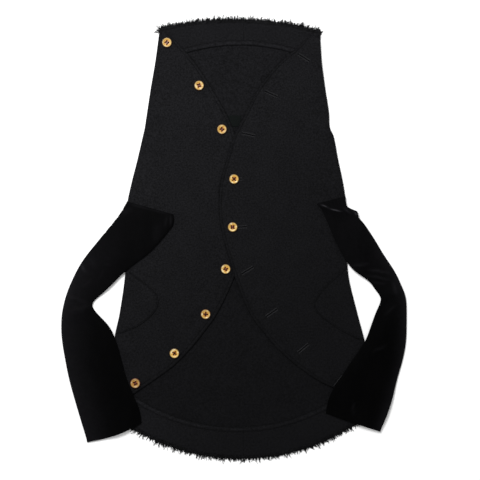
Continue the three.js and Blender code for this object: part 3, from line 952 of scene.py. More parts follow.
@dataclass(frozen=True)
class Ridge:
    """A soft ridge, or a trough if its height is negative, in millimetres."""

    x1: float
    y1: float
    x2: float
    y2: float
    height: float
    width: float
    waver_size: float = 15
    blunt: float = 0.08  # how far into its taper each end begins

    def at(self, x: float, y: float) -> float:
        """The rise at a point.

        Args:
            x: Its place across the garment.
            y: Its place along the garment.

        Returns:
            The rise in metres.
        """
        start, end = Vector((self.x1, self.y1)), Vector((self.x2, self.y2))
        here = Vector((x, y)) / MM
        along = end - start
        share = min(1.0, max(0.0, (here - start).dot(along) / along.length_squared))
        foot = start + along * share
        aside = Vector((-along.y, along.x)).normalized()
        foot += aside * self.width * noise.noise(Vector((foot.x, foot.y, 0)) / self.waver_size)
        taper = math.sin(math.pi * mix(self.blunt, 1 - self.blunt, share))
        return self.height * taper * bell((here - foot).length, self.width) * MM


@dataclass(frozen=True)
class ClothRelief:
    """The unevenness of cloth that lies flat: a slow swell and small puckers."""

    swell: float = 0.3 * MM
    swell_size: float = 55 * MM
    pucker: float = 0.1 * MM
    pucker_size: float = 13 * MM
    pucker_layer: float = 7

    def at(self, x: float, y: float) -> float:
        """The rise at a point.

        Args:
            x: Its place across the garment.
            y: Its place along the garment.

        Returns:
            The rise in metres.
        """
        slow = noise.noise(Vector((x, y, 0)) / self.swell_size)
        fine = noise.noise(Vector((x, y, 0)) / self.pucker_size + Vector((0, 0, self.pucker_layer)))
        return self.swell * slow + self.pucker * fine


CLOTH_RELIEF = ClothRelief()


RIM_DROP = 0.3  # how much of a cloth's thickness its rim is thinner by, on each side
SOFTENING = 12  # how many times the solids' heights are smoothed


def laid_cloth(
    name: str,
    grid: Grid,
    node: str,
    thickness: float,
    relief: Callable[[int, float, float], float],
    pressed: Sequence[float] = (),
    has_flush_start: bool = False,
) -> Mesh:
    """A sheet of cloth that lies where one of the solids lies, with a finer form.

    Args:
        name: The mesh's name.
        grid: Its plan points.
        node: The solid whose upper face gives its height.
        thickness: The cloth's thickness.
        relief: The rise at a column and a point.
        pressed: Each column's painted shade along a sewn edge, less painted highlight.
        has_flush_start: Whether the first row joins another panel and keeps its full thickness.

    Returns:
        The mesh.
    """
    solid = Surface(bpy.data.objects[node])
    heights = smoothed(filled([[solid.top(x, y) for x, y in row] for row in grid]), SOFTENING)
    last_row, last_column = len(grid) - 1, len(grid[0]) - 1
    upper, lower = [], []
    for r, row in enumerate(grid):
        tops, bottoms = [], []
        for c, (x, y) in enumerate(row):
            on_rim = (r == 0 and not has_flush_start) or r == last_row or c in (0, last_column)
            drop = RIM_DROP * thickness if on_rim else 0.0
            top = heights[r][c] + relief(c, x, y)
            tops.append(Vector((x, y, top - drop)))
            bottoms.append(Vector((x, y, max(0.0, top - thickness) + drop)))
        upper.append(tops)
        lower.append(bottoms)
    mesh = sheet_mesh(name, upper, lower)
    shares = list(pressed or [0.0] * (last_column + 1)) * len(grid) * 2
    mesh.attributes.new(PAINTED_EDGE_SHADING, "FLOAT", "POINT").data.foreach_set("value", shares)
    return mesh


# ---- What repeats along a path ----


class GrowthGraph(Graph):
    """A geometry tree that turns a path into pieces that repeat along it."""

    def __init__(self, name: str, sockets: dict[str, str]) -> None:
        """Makes the tree with its named inputs.

        Args:
            name: The tree's name.
            sockets: The names of its inputs, and each one's type.
        """
        tree = bpy.data.node_groups.new(name, "GeometryNodeTree")
        super().__init__(tree)
        for label, kind in {"Geometry": "Geometry", **sockets, "Material": "Material"}.items():
            tree.interface.new_socket(name=label, in_out="INPUT", socket_type=f"NodeSocket{kind}")
        tree.interface.new_socket(name="Geometry", in_out="OUTPUT", socket_type="NodeSocketGeometry")
        self.given = self.node("NodeGroupInput").outputs

    def value(self, name: str) -> Number:
        """One of the tree's own inputs."""
        return Number(self, self.given[name])

    def random(self, low: Number | float, high: Number | float, salt: int) -> Number:
        """A random number for each place along the path, set apart by its salt."""
        values = {2: low, 3: high, "Seed": self.value("Seed") + float(salt)}
        return self.number("FunctionNodeRandomValue", {"data_type": "FLOAT"}, values, 1)

    def vector(self, x: Number | float, y: Number | float, z: Number | float) -> NodeSocket:
        """Three numbers as one vector."""
        return self.node("ShaderNodeCombineXYZ", None, {0: x, 1: y, 2: z}).outputs[0]

    def spaced(self, pitch: str) -> NodeSocket:
        """The path as a curve with a point at each pitch.

        Args:
            pitch: The name of the input that holds the pitch.

        Returns:
            The curve.
        """
        curve = self.node("GeometryNodeMeshToCurve", None, {0: self.given["Geometry"]}).outputs[0]
        values = {"Curve": curve, "Length": self.given[pitch]}
        return self.node("GeometryNodeResampleCurve", {"mode": "LENGTH"}, values).outputs[0]

    def placed(
        self, points: NodeSocket, copied: NodeSocket, turn: NodeSocket, scale: NodeSocket | None = None
    ) -> NodeSocket:
        """A copy on each point.

        Args:
            points: The points.
            copied: What is copied.
            turn: Each copy's rotation.
            scale: Each copy's size, where it isn't 1.

        Returns:
            The copies.
        """
        values = {"Points": points, "Instance": copied, "Rotation": turn}
        if scale:
            values["Scale"] = scale
        return self.node("GeometryNodeInstanceOnPoints", None, values).outputs[0]

    def along(self, turn: NodeSocket) -> NodeSocket:
        """A rotation that follows the path, and is turned further by three angles.

        Args:
            turn: The three angles.

        Returns:
            The rotation.
        """
        tangent = self.node("GeometryNodeInputTangent").outputs[0]
        settings = {"axis": "X", "pivot_axis": "Z"}
        follow = self.node("FunctionNodeAlignRotationToVector", settings, {"Vector": tangent}).outputs[0]
        further = self.node("FunctionNodeEulerToRotation", None, {0: turn}).outputs[0]
        values = {"Rotation": follow, "Rotate By": further}
        return self.node("FunctionNodeRotateRotation", {"rotation_space": "LOCAL"}, values).outputs[0]

    def close(self, instances: NodeSocket, floor: float | None = None) -> NodeTree:
        """Ends the tree in plain geometry with a material.

        Args:
            instances: What has been placed.
            floor: The height that nothing reaches below.

        Returns:
            The finished tree.
        """
        real = self.node("GeometryNodeRealizeInstances", None, {0: instances}).outputs[0]
        if floor is not None:
            x, y, z = self.split(self.node("GeometryNodeInputPosition").outputs[0])
            values = {"Geometry": real, "Position": self.vector(x, y, z.math("MAXIMUM", floor))}
            real = self.node("GeometryNodeSetPosition", None, values).outputs[0]
        values = {"Geometry": real, "Material": self.given["Material"]}
        dressed = self.node("GeometryNodeSetMaterial", None, values).outputs[0]
        self.node("NodeGroupOutput", None, {0: dressed})
        return self.tree


@dataclass(frozen=True)
class StitchForm:
    """How far one stitch differs from the next, in radians and as a share of its length."""

    tip: float = 0.05
    skew: float = 0.14
    lengths: Point = (0.85, 1.1)

    def tree(self) -> NodeTree:
        """A tree that lays one stitch at each pitch of a path.

        Returns:
            The tree.
        """
        names = ("Pitch", "Length", "Width", "Height", "Turn")
        graph = GrowthGraph("stitches", {**dict.fromkeys(names, "Float"), "Seed": "Int"})
        ball = {"Segments": 6, "Rings": 4, "Radius": 0.5}
        sphere = graph.node("GeometryNodeMeshUVSphere", None, ball).outputs[0]
        size = graph.vector(*(graph.value(name) for name in ("Length", "Width", "Height")))
        stitch = graph.node("GeometryNodeTransform", None, {"Geometry": sphere, "Scale": size}).outputs[0]
        tip = graph.random(-self.tip, self.tip, 1)
        skew = graph.value("Turn") + graph.random(-self.skew, self.skew, 2)
        turn = graph.along(graph.vector(0.0, tip, skew))
        scale = graph.vector(graph.random(*self.lengths, 3), 1.0, 1.0)
        return graph.close(graph.placed(graph.spaced("Pitch"), stitch, turn, scale))


@dataclass(frozen=True)
class StrandForm:
    """The form that all loose strands share, in shares of each one's length, curl and lift."""

    bend_at: float = 0.55
    curl_back: float = -0.6
    lift_left: float = 0.2
    taper: float = 0.45
    pieces: int = 5
    sides: int = 3
    clump_range: Point = (0.3, 0.72)
    clump_gain: float = 0.9
    clump_least: float = 0.35
    tilt: Point = (-0.25, 0.05)
    floor: float = 0.2 * MM

    def strand(self, graph: GrowthGraph) -> NodeSocket:
        """One strand of unit length that curls and tapers.

        Args:
            graph: The tree that it is made in.

        Returns:
            The strand's mesh.
        """
        curl, lift = graph.value("Curl"), graph.value("Lift")
        values = {
            "Resolution": self.pieces,
            "Start": graph.vector(0.0, 0.0, 0.0),
            "Middle": graph.vector(curl, self.bend_at, lift),
            "End": graph.vector(curl * self.curl_back, 1.0, lift * self.lift_left),
        }
        line = graph.node("GeometryNodeCurveQuadraticBezier", None, values).outputs[0]
        section = {"Resolution": self.sides, "Radius": graph.value("Thickness") * 0.5}
        profile = graph.node("GeometryNodeCurvePrimitiveCircle", None, section).outputs[0]
        taper = 1.0 - graph.number("GeometryNodeSplineParameter") * self.taper
        values = {"Curve": line, "Profile Curve": profile, "Scale": taper, "Fill Caps": True}
        return graph.node("GeometryNodeCurveToMesh", None, values).outputs[0]

    def tree(self) -> NodeTree:
        """A tree that grows loose strands to the left of a path, as it runs.

        Returns:
            The tree.
        """
        names = ("Pitch", "Shortest", "Longest", "Thickness", "Curl", "Lean", "Lift", "Clump")
        graph = GrowthGraph("fray", {**dict.fromkeys(names, "Float"), "Seed": "Int"})
        strand = self.strand(graph)
        here = graph.node("GeometryNodeInputPosition").outputs[0]
        values = {"Vector": here, "Scale": graph.value("Clump"), "Detail": 2.0}
        clump = graph.number("ShaderNodeTexNoise", None, values).eased(*self.clump_range)
        length = graph.random(graph.value("Shortest"), graph.value("Longest"), 1)
        length = length * (clump * self.clump_gain + self.clump_least)
        lean = graph.value("Lean")
        roll = graph.random(-math.pi, math.pi, 3)
        turn = graph.vector(graph.random(*self.tilt, 2), roll, graph.random(lean * -1.0, lean, 4))
        scale = graph.vector(1.0, length, 1.0)
        placed = graph.placed(graph.spaced("Pitch"), strand, graph.along(turn), scale)
        return graph.close(placed, self.floor)


def button_tree() -> NodeTree:
    """A tree that puts a copy of one object at each point, turned as the point says.

    Returns:
        The tree.
    """
    graph = GrowthGraph("buttons", {"Copied": "Object"})
    settings = {"transform_space": "ORIGINAL"}
    copied = graph.node("GeometryNodeObjectInfo", settings, {0: graph.given["Copied"]}).outputs["Geometry"]
    angle = graph.number("GeometryNodeInputNamedAttribute", {"data_type": "FLOAT"}, {"Name": "turn"})
    turn = graph.node("FunctionNodeEulerToRotation", None, {0: graph.vector(0.0, 0.0, angle)}).outputs[0]
    points = graph.node("GeometryNodeMeshToPoints", None, {0: graph.given["Geometry"]}).outputs[0]
    return graph.close(graph.placed(points, copied, turn))


def tree_inputs(record: Any) -> dict[str, Any]:
    """The values of a dataclass under the names that a tree's inputs have."""
    return {item.name.title(): getattr(record, item.name) for item in fields(record)}


def grown(
    name: str,
    paths: Sequence[Sequence[Vector]],
    tree: NodeTree,
    values: dict[str, Any],
    marks: dict[str, Sequence[float]] | None = None,
) -> Object:
    """Runs a tree over some paths and keeps the result as a plain mesh.

    Args:
        name: The piece's name.
        paths: The points of each path.
        tree: The geometry tree.
        values: The tree's inputs, by name.
        marks: Numbers that each point carries, by name.

    Returns:
        The piece.
    """
    mesh = bpy.data.meshes.new(name)
    edges, start = [], 0
    for path in paths:
        edges += [(start + i, start + i + 1) for i in range(len(path) - 1)]
        start += len(path)
    mesh.from_pydata([point for path in paths for point in path], edges, [])
    for mark, numbers in (marks or {}).items():
        mesh.attributes.new(mark, "FLOAT", "POINT").data.foreach_set("value", list(numbers))
    base = bpy.data.objects.new(name, mesh)
    modifier = base.modifiers.new("grow", "NODES")
    modifier.node_group = tree
    for socket in tree.interface.items_tree:
        if socket.in_out == "INPUT" and socket.name in values:
            modifier[socket.identifier] = values[socket.name]
    bpy.context.scene.collection.objects.link(base)
    made = plain_mesh(base)
    bpy.data.objects.remove(base)
    bpy.data.meshes.remove(mesh)
    return add_object(name, made)


# ---- The body's panels ----


def slant_of(curve: Callable[[float], float], place: float) -> float:
    """How much longer a level line is than the way square to a curve that it meets."""
    reach = 2 * MM
    return math.hypot(1, (curve(place + reach) - curve(place - reach)) / (2 * reach))


@dataclass(frozen=True)
class TurnedEdge:
    """An edge that is turned in and sewn down: a raised band, a groove, small puckers and painted shading
    along it.
    """

    band: float = 6.6 * MM
    rise: float = 0.5 * MM
    groove: float = 0.5 * MM
    groove_width: float = 1.1 * MM
    pucker: float = 0.35 * MM
    pucker_size: float = 7 * MM
    flutter: float = 0.6 * MM
    flutter_size: float = 13 * MM
    # painted edge shadow at the rim, with the darker cut edge, and its width
    dark_rim: float = 2.8 * MM
    # painted highlight where a band's crest catches the light: its strength, its place in from the edge
    # and its width
    rubbed: float = 0.0
    rubbed_at: float = 5 * MM
    rubbed_width: float = 2 * MM
    roundness: float = 0.6
    gathered_bands: float = 0.8  # how far the puckers reach from the groove, in bands
    flutter_layer: float = 5
    flutter_bias: float = 0.35
    # painted shade in the groove, with some real pressing of the nap
    groove_press: float = 0.7
    far_bands: float = 9  # how far in the cloth beyond the last offset counts as lying, in bands
    offsets: tuple[float, ...] = millimetres(0, 0.8, 1.6, 2.6, 4, 5.2, 6, 6.6, 7.2, 8, 9.2, 12, 16, 24)

    def at(self, offset: float, x: float, y: float) -> float:
        """The rise at a point.

        Args:
            offset: How far it lies in from the edge.
            x: Its place across the garment.
            y: Its place along the garment.

        Returns:
            The rise in metres.
        """
        raised = self.rise * math.sin(math.pi * min(1.0, offset / self.band)) ** self.roundness
        groove = self.groove * bell(offset - self.band, self.groove_width)
        near = bell(offset - self.band, self.gathered_bands * self.band)
        gathered = self.pucker * noise.noise(Vector((x, y, 0)) / self.pucker_size) * near
        flutter = noise.noise(Vector((x, y, self.flutter_layer)) / self.flutter_size)
        wave = max(0.0, self.flutter_bias + flutter)
        return raised - groove + gathered + self.flutter * wave * math.exp(-offset / self.band)

    def columns(self, across: int) -> list[float]:
        """The offset of each column of a grid whose far part has that many even steps."""
        return [self.band * self.far_bands] * across + list(reversed(self.offsets))

    def pressed(self, across: int) -> list[float]:
        """Each column's painted shading: painted shade in the groove, with some real pressing of the nap,
        and painted edge shadow at the rim, less a painted highlight on the band.

        Args:
            across: How many even steps the grid's far part has.

        Returns:
            Each column's share.
        """
        return [
            self.groove_press * bell(offset - self.band, self.groove_width)
            + bell(offset, self.dark_rim)
            - self.rubbed * bell(offset - self.rubbed_at, self.rubbed_width)
            for offset in self.columns(across)
        ]


def laid(piece: Object, flat: Point, rests_on: str) -> dict[str, Any]:
    """A record of a sheet that lies flat: its flat size, how it is held, what it rests on and its area."""
    area = min(flat[0] * flat[1], cloth_area(piece))
    return {"flat": flat, "held": "laid", "rests_on": [rests_on], "area": area, "with_pieces": []}


def cloth_area(piece: Object) -> float:
    """The area of one side of a sheet that is closed round its rim."""
    return sum(face.area for face in piece.data.polygons) / 2


def plan_size(node: str) -> Point:
    """The width and the length of a solid, seen from above."""
    low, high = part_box(node)
    return high[0] - low[0], high[1] - low[1]


@dataclass(frozen=True)
class Back:
    """The back: one panel from the neck hem to the skirt hem."""

    rows: int = 110
    columns: int = 64
    thickness: float = 1.8 * MM
    flat: Point = (0.574, 0.944)

    def grid(self) -> Grid:
        """The panel's plan points, from the neck hem down.

        Returns:
            The points, row by row.
        """

        def across(y: float, share: float) -> float:
            """The place across the panel at one height."""
            return mix(SEAMS[Side.LEFT](y), SEAMS[Side.RIGHT](y), share)

        def hem_y(hem: Hem, share: float) -> float:
            """The height of a hem at a place across it."""
            return HEMS[hem].y_at(across(HEM_CORNERS[hem], share), hem.value)

        heights = [[hem_y(hem, share) for share in steps(self.columns)] for hem in Hem]
        grid = []
        for down in steps(self.rows):
            row = [mix(neck, skirt, down) for neck, skirt in zip(*heights, strict=True)]
            grid.append([(across(y, share), y) for y, share in zip(row, steps(self.columns), strict=True)])
        return grid

    def build(self, finishes: Finishes) -> Object:
        """Makes the panel.

        Args:
            finishes: The garment's materials.

        Returns:
            The piece.
        """
        name = "back_cloth"
        mesh = laid_cloth(name, self.grid(), "back", self.thickness, lambda _, x, y: CLOTH_RELIEF.at(x, y))
        piece = add_object(name, mesh, finishes.inside)
        return settle(piece, ["back"], laid(piece, self.flat, "floor"))


@dataclass(frozen=True)
class EdgedPanel(ABC):
    """A panel of cloth for one half of the garment, with a turned and sewn edge."""

    side: Side
    thickness: float
    across: int
    edge: TurnedEdge
    rows_left_out: int = 1  # how many rows at each end have no stitch

    @property
    @abstractmethod
    def node(self) -> str:
        """The solid that this panel replaces."""

    @property
    def name(self) -> str:
        """The piece's name."""
        return f"{self.node}_cloth"

    @abstractmethod
    def plan_rows(self) -> list[Row]:
        """Each row's far point, its point on the sewn edge and its slant to that edge."""

    def cloth(self, finish: Material, has_flush_start: bool = False) -> Object:
        """The panel as a sheet over its solid.

        Args:
            finish: Its material.
            has_flush_start: Whether its first row joins another panel.

        Returns:
            The object.
        """
        offsets = self.edge.columns(self.across)

        def relief(c: int, x: float, y: float) -> float:
            """The swell of the cloth and the form of its sewn edge."""
            return CLOTH_RELIEF.at(x, y) + self.edge.at(offsets[c], x, y)

        grid = edge_grid(self.plan_rows(), self.edge.offsets, self.across)
        pressed = self.edge.pressed(self.across)
        mesh = laid_cloth(self.name, grid, self.node, self.thickness, relief, pressed, has_flush_start)
        return add_object(self.name, mesh, finish)

    def seam(self) -> list[Point]:
        """The plan points of the line that the edge is sewn down along."""
        grid = edge_grid(self.plan_rows(), (0.0, self.edge.band, 2 * self.edge.band), 1)
        return [row[-2] for row in grid[self.rows_left_out : -self.rows_left_out]]


@dataclass(frozen=True)
class Facing(EdgedPanel):
    """One of the four turned facings inside the hems."""

    hem: Hem = field(kw_only=True)
    thickness: float = 1.4 * MM
    inset: float = 1 * MM
    gap: float = 0.02 * MM
    columns: int = 84
    across: int = 8
    edge: TurnedEdge = TurnedEdge(
        band=10.5 * MM,
        rise=1.1 * MM,
        groove=0.3 * MM,
        groove_width=1.4 * MM,
        pucker=0.5 * MM,
        pucker_size=5.5 * MM,
        flutter=0.5 * MM,
        dark_rim=1.6 * MM,
        rubbed=0.55,
        offsets=millimetres(0, 0.8, 2.0, 3.4, 4.6, 5.8, 7.2, 8.8, 10.5, 12.5, 16),
    )

    @property
    def node(self) -> str:
        """The solid that this facing replaces."""
        return f"facing_{self.hem.label}_{self.side.label}"

    def rim(self, arc: Arc) -> list[Point]:
        """Points along the facing's edge on that circle, from the centre back outwards.

        Args:
            arc: The circle.

        Returns:
            The points.
        """
        side_seam = SEAMS[self.side]
        corner = side_seam(HEM_CORNERS[self.hem])
        start = CENTRE_BACK + self.side.value * self.gap
        points = []
        for share in steps(self.columns):
            y = arc.y_at(mix(start, corner, share), self.hem.value)
            points.append((mix(start, side_seam(y) - self.side.value * self.inset, share), y))
        return points

    def plan_rows(self) -> list[Row]:
        """Each row's point at the hem, its point on the inner edge and its slant to that edge.

        Returns:
            The rows.
        """
        hem, inner = HEMS[self.hem], FACING_EDGES[self.hem]
        outer = Arc(hem.x, hem.y, hem.radius - self.inset / MM)
        return [
            (far, edge, slant_of(lambda x: inner.y_at(x, self.hem.value), edge[0]))
            for far, edge in zip(self.rim(outer), self.rim(inner), strict=True)
        ]

    def seam(self) -> list[Point]:
        """The plan points of the line that the inner edge is sewn down along."""
        away = self.hem.value * self.edge.band
        return [(x, y + away) for x, y in self.rim(FACING_EDGES[self.hem])[1:-1]]

    def build(self, finishes: Finishes) -> Object:
        """Makes the facing with the garment's materials."""
        piece = self.cloth(finishes.facing, has_flush_start=True)
        return settle(piece, [self.node], laid(piece, FACING_CUTS[self.hem], "back_cloth"))


@dataclass(frozen=True)
class Front(EdgedPanel):
    """A front, from its side seam and armhole to its round-cut free edge."""

    thickness: float = 1.8 * MM
    pitch: float = 3.5 * MM
    across: int = 44
    turn_y: float = 48 * MM
    edge: TurnedEdge = TurnedEdge()
    rows_left_out: int = 2

    @property
    def node(self) -> str:
        """The solid that this front replaces."""
        return f"front_{self.side.label}"

    def plan_rows(self) -> list[Row]:
        """Each row's point at the side, its point on the free edge and its slant to that edge.

        Returns:
            The rows.
        """
        side_seam, edge = SEAMS[self.side], EDGES[self.side]
        above, corner, below = (millimetres(*point) for point in ARMHOLES[self.side])
        lap = ARMHOLE_LAP * MM
        inward = math.copysign(3 * lap, corner[0] - above[0])
        upper, tip = (above[0], above[1] - lap), (corner[0] - inward, corner[1] - lap)

        def down_seam(start: float, end: float, share: float) -> Point:
            """A point of the side seam."""
            y = mix(start, end, share)
            return side_seam(y), y

        runs = (
            (lambda share: down_seam(TOP, upper[1], share), TOP, upper[1]),
            (lambda share: mix_points(upper, tip, share), upper[1], self.turn_y),
            (lambda share: mix_points(tip, below, share), self.turn_y, below[1]),
            (lambda share: down_seam(below[1], BOTTOM, share), below[1], BOTTOM),
        )
        rows: list[Row] = []
        for far, start, end in runs:
            for share in steps(math.ceil(abs(end - start) / self.pitch))[bool(rows):]:
                y = mix(start, end, share)
                rows.append((far(share), (edge(y), y), slant_of(edge, y)))
        return rows

    def build(self, finishes: Finishes) -> Object:
        """Makes the front.

        Args:
            finishes: The garment's materials.

        Returns:
            The piece.
        """
        piece = self.cloth(finishes.wool)
        if self.side is Side.RIGHT:
            Buttonholes().cut(piece)
        return settle(piece, [self.node], laid(piece, plan_size(self.node), "back_cloth"))


@dataclass(frozen=True)
class Pocket(EdgedPanel):
    """A round pocket that is sewn on a front at the side seam."""

    thickness: float = 1.2 * MM
    inset: float = 1 * MM
    rows: int = 56
    across: int = 20
    edge: TurnedEdge = TurnedEdge(
        band=2.6 * MM,
        rise=0.45 * MM,
        groove=0.5 * MM,
        groove_width=0.9 * MM,
        pucker=0.12 * MM,
        flutter=0.2 * MM,
        dark_rim=1.0 * MM,
        offsets=millimetres(0, 0.6, 1.4, 2.1, 2.6, 3.1, 3.8, 5.5, 8.5),
    )

    @property
    def node(self) -> str:
        """The solid that this pocket replaces."""
        return f"pocket_{self.side.label}"

    def plan_rows(self) -> list[Row]:
        """Each row's point at the side seam, its point on the round edge and its slant to it.

        Returns:
            The rows.
        """
        rim = SmoothCurve((y * MM, x * MM) for y, x in POCKET_RIMS[self.side])
        start, end = POCKET_RIMS[self.side][0][0] * MM, POCKET_RIMS[self.side][-1][0] * MM
        rows = []
        for share in steps(self.rows):
            y = mix(start, end, share)
            side = SEAMS[self.side](y) - self.side.value * self.inset
            rows.append(((side, y), (rim(y), y), slant_of(rim, y)))
        return rows

    def build(self, finishes: Finishes) -> Object:
        """Makes the pocket.

        Args:
            finishes: The garment's materials.

        Returns:
            The piece.
        """
        piece = self.cloth(finishes.wool)
        below = f"front_{self.side.label}_cloth"
        return settle(piece, [self.node], laid(piece, plan_size(self.node), below))


@dataclass(frozen=True)
class Label:
    """The bare woven neck label."""

    node: str = "label"
    rows: int = 24
    columns: int = 30
    bow: float = 0.45 * MM

    def build(self, finishes: Finishes) -> Object:
        """Makes the label.

        Args:
            finishes: The garment's materials.

        Returns:
            The piece.
        """
        low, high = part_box(self.node)
        grid = [
            [(mix(low[0], high[0], across), mix(high[1], low[1], down)) for across in steps(self.columns)]
            for down in steps(self.rows)
        ]

        def relief(c: int, x: float, y: float) -> float:
            """The swell of the cloth below, and the tape's own bow between its sewn ends."""
            return CLOTH_RELIEF.at(x, y) + self.bow * math.sin(math.pi * c / self.columns) ** 2

        name = "label_tape"
        piece = add_object(
            name, laid_cloth(name, grid, self.node, high[2] - low[2], relief), finishes.label
        )
        return settle(piece, [self.node], laid(piece, plan_size(self.node), "back_cloth"))


# ---- Sleeves ----


OUTER_FOLDS = {
    Side.LEFT: (
        (-229, 81), (-247, 51), (-274, 18), (-302, -16), (-329, -52), (-349, -92),
        (-359, -118), (-365, -140), (-369, -160), (-371, -184), (-370, -215), (-363, -258),
        (-354, -303), (-341, -350), (-327, -397), (-315, -436),
    ),
    Side.RIGHT: (
        (240, 92), (243, 69), (266, 59), (268, 47), (281, 32), (303, 0), (323, -34),
        (346, -68), (359, -96), (368, -118), (371, -134), (372, -158), (372, -187),
        (371, -221), (364, -260), (353, -298), (343, -339), (330, -378), (315, -413),
    ),
}


@dataclass(frozen=True)
class Sleeve:
    """A velvet sleeve, folded down over its front."""

    side: Side
    ridges: tuple[Ridge, ...]
    # painted sheen near the outer fold: its strength, width and falloff
    brush: float
    brush_width: float
    brush_falloff: float = 1.4
    # painted light towards the top of the sleeve, and over which heights
    haze: float = 0.13
    haze_range: Point = (-260 * MM, 0.0)
    # how much of the painted fold sheen is taken away higher up, where the lamp lights more, and over
    # which heights
    dulled: float = 0.85
    dulled_range: Point = (-120 * MM, 50 * MM)
    # painted highlight on the ridges' crests
    crest_shine: float = 0.65
    flat: Point = (0.32, 0.66)
    fullness: float = 1.1 * MM
    fold_width: float = 6 * MM
    level: int = 2
    weld: float = 0.001 * MM
    bend_limit: float = math.radians(60)
    end_normal: Point = (0.8, 0.5)  # an open end's wall faces at least this far along, and less up
    rim_crease: float = 0.85
    hollow: float = 0.5 * MM
    swell: float = 0.8 * MM
    swell_size: float = 34 * MM
    swell_layer: float = 3
    crush: float = 0.3 * MM
    crush_size: float = 11 * MM
    crush_layer: float = 9
    gather: float = 0.6 * MM
    gather_pitch: float = 7.5 * MM
    gather_reach: float = 14 * MM

    @property
    def node(self) -> str:
        """The solid that this sleeve replaces."""
        return f"sleeve_{self.side.label}"

    def smooth_copy(self) -> Mesh:
        """The solid's tube with its facets smoothed away and its open ends kept crisp.

        Returns:
            The mesh.
        """
        mesh = bpy.data.objects[self.node].data.copy()
        shell = bmesh.new()
        shell.from_mesh(mesh)
        bmesh.ops.remove_doubles(shell, verts=shell.verts, dist=self.weld)
        bmesh.ops.join_triangles(
            shell, faces=shell.faces, angle_face_threshold=self.bend_limit, angle_shape_threshold=math.pi
        )
        crease = shell.edges.layers.float.new("crease_edge")
        along, up = self.end_normal
        for face in shell.faces:
            if abs(face.normal.y) > along and abs(face.normal.z) < up:
                for edge in face.edges:
                    edge[crease] = self.rim_crease
        shell.to_mesh(mesh)
        shell.free()
        piece = add_object("sleeve_base", mesh)
        smooth = piece.modifiers.new("smooth", "SUBSURF")
        smooth.levels = smooth.render_levels = self.level
        made = plain_mesh(piece)
        bpy.data.objects.remove(piece)
        bpy.data.meshes.remove(mesh)
        return made

    def gathers(self, here: Vector) -> float:
        """The rise of the small pleats that are gathered into the armhole's seam.

        Args:
            here: The place on the floor.

        Returns:
            The rise in metres.
        """
        start, end = (Vector(point).to_3d() * MM for point in ARMHOLES[self.side][:2])
        along = (end - start).normalized()
        place = (here - start).dot(along)
        away = (here - start - along * place).length
        wave = math.sin(2 * math.pi * (place / self.gather_pitch + noise.noise(here / self.swell_size)))
        return self.gather * wave * math.exp(-away / self.gather_reach)

    def rise(self, here: Vector) -> float:
        """How far the upper layer is lifted at a place on the floor.

        Args:
            here: The place.

        Returns:
            The rise in metres.
        """
        slow = noise.noise(here / self.swell_size + Vector((0, 0, self.swell_layer)))
        fine = noise.noise(here / self.crush_size + Vector((0, 0, self.crush_layer)))
        folds = sum(ridge.at(here.x, here.y) for ridge in self.ridges)
        return self.swell * slow + self.crush * fine + self.gathers(here) + folds

    def outer_fold(self) -> KDTree:
        """Points along the sleeve's outer fold, for finding how near it is.

        Returns:
            The points.
        """
        table = OUTER_FOLDS[self.side]
        spots = [
            Vector((*mix_points(start, end, share), 0)) * MM
            for start, end in zip(table, table[1:], strict=False)
            for share in steps(8)
        ]
        tree = KDTree(len(spots))
        for i, spot in enumerate(spots):
            tree.insert(spot, i)
        tree.balance()
        return tree

    def build(self, finishes: Finishes) -> Object:
        """Makes the sleeve.

        Args:
            finishes: The garment's materials.

        Returns:
            The piece.
        """
        name = f"{self.node}_velvet"
        piece = add_object(name, self.smooth_copy(), finishes.velvet)
        surface, fold, brushed = Surface(piece), self.outer_fold(), []
        normals = [vertex.normal.copy() for vertex in piece.data.vertices]
        for vertex, normal in zip(piece.data.vertices, normals, strict=True):
            x, y, z = vertex.co
            here = Vector((x, y, 0))
            away = fold.find(here)[2]
            # painted sheen: near the outer fold, less of it higher up, painted light towards the top and
            # painted highlight on ridge crests
            crest = sum(max(0.0, ridge.at(x, y)) for ridge in self.ridges) / MM
            near = math.exp(-((away / self.brush_width) ** self.brush_falloff))
            high = ease(y, *self.haze_range)
            low = 1 - self.dulled * ease(y, *self.dulled_range)
            brushed.append(self.brush * near * low + self.haze * high + self.crest_shine * crest)
            top, under = surface.top(x, y), surface.under(x, y)
            if top is not None and under is not None and top - under > self.hollow:
                vertex.co.z += self.rise(here) * ((z - under) / (top - under)) ** 2
            full = self.fullness * bell(away, self.fold_width)
            vertex.co += Vector((normal.x, normal.y, 0)) * full
        piece.data.attributes.new(PAINTED_SHEEN, "FLOAT", "POINT").data.foreach_set("value", brushed)
        below = f"front_{self.side.label}_cloth"
        soft = {"flat": self.flat, "held": "folded", "rests_on": [below], "area": cloth_area(piece)}
        return settle(piece, [self.node], soft)


# ---- Buttons and buttonholes ----


class Tie(Enum):
    """How the thread runs through a button's four holes."""

    CROSSED = "crossed"
    PARALLEL = "parallel"


@dataclass(frozen=True)
class ButtonPlace:
    """Where one button is sewn, in millimetres and degrees."""

    x: float
    y: float
    turn: float
    tone: float
    tie: Tie = Tie.PARALLEL


BUTTON_PLACES = (
    ButtonPlace(-143, 422, 45, 0.85),
    ButtonPlace(-74, 330, 20, 0.8),
    ButtonPlace(-25, 236, 45, 0.75),
    ButtonPlace(1, 129, 0, 0.95, Tie.CROSSED),
    ButtonPlace(-2, 26, 92, 0.9),
    ButtonPlace(-17, -64, 60, 0.95),
    ButtonPlace(-60, -161, 38, 0.7, Tie.CROSSED),
    ButtonPlace(-127, -245, 12, 1.0, Tie.CROSSED),
    ButtonPlace(-211, -309, 25, 0.3),
)


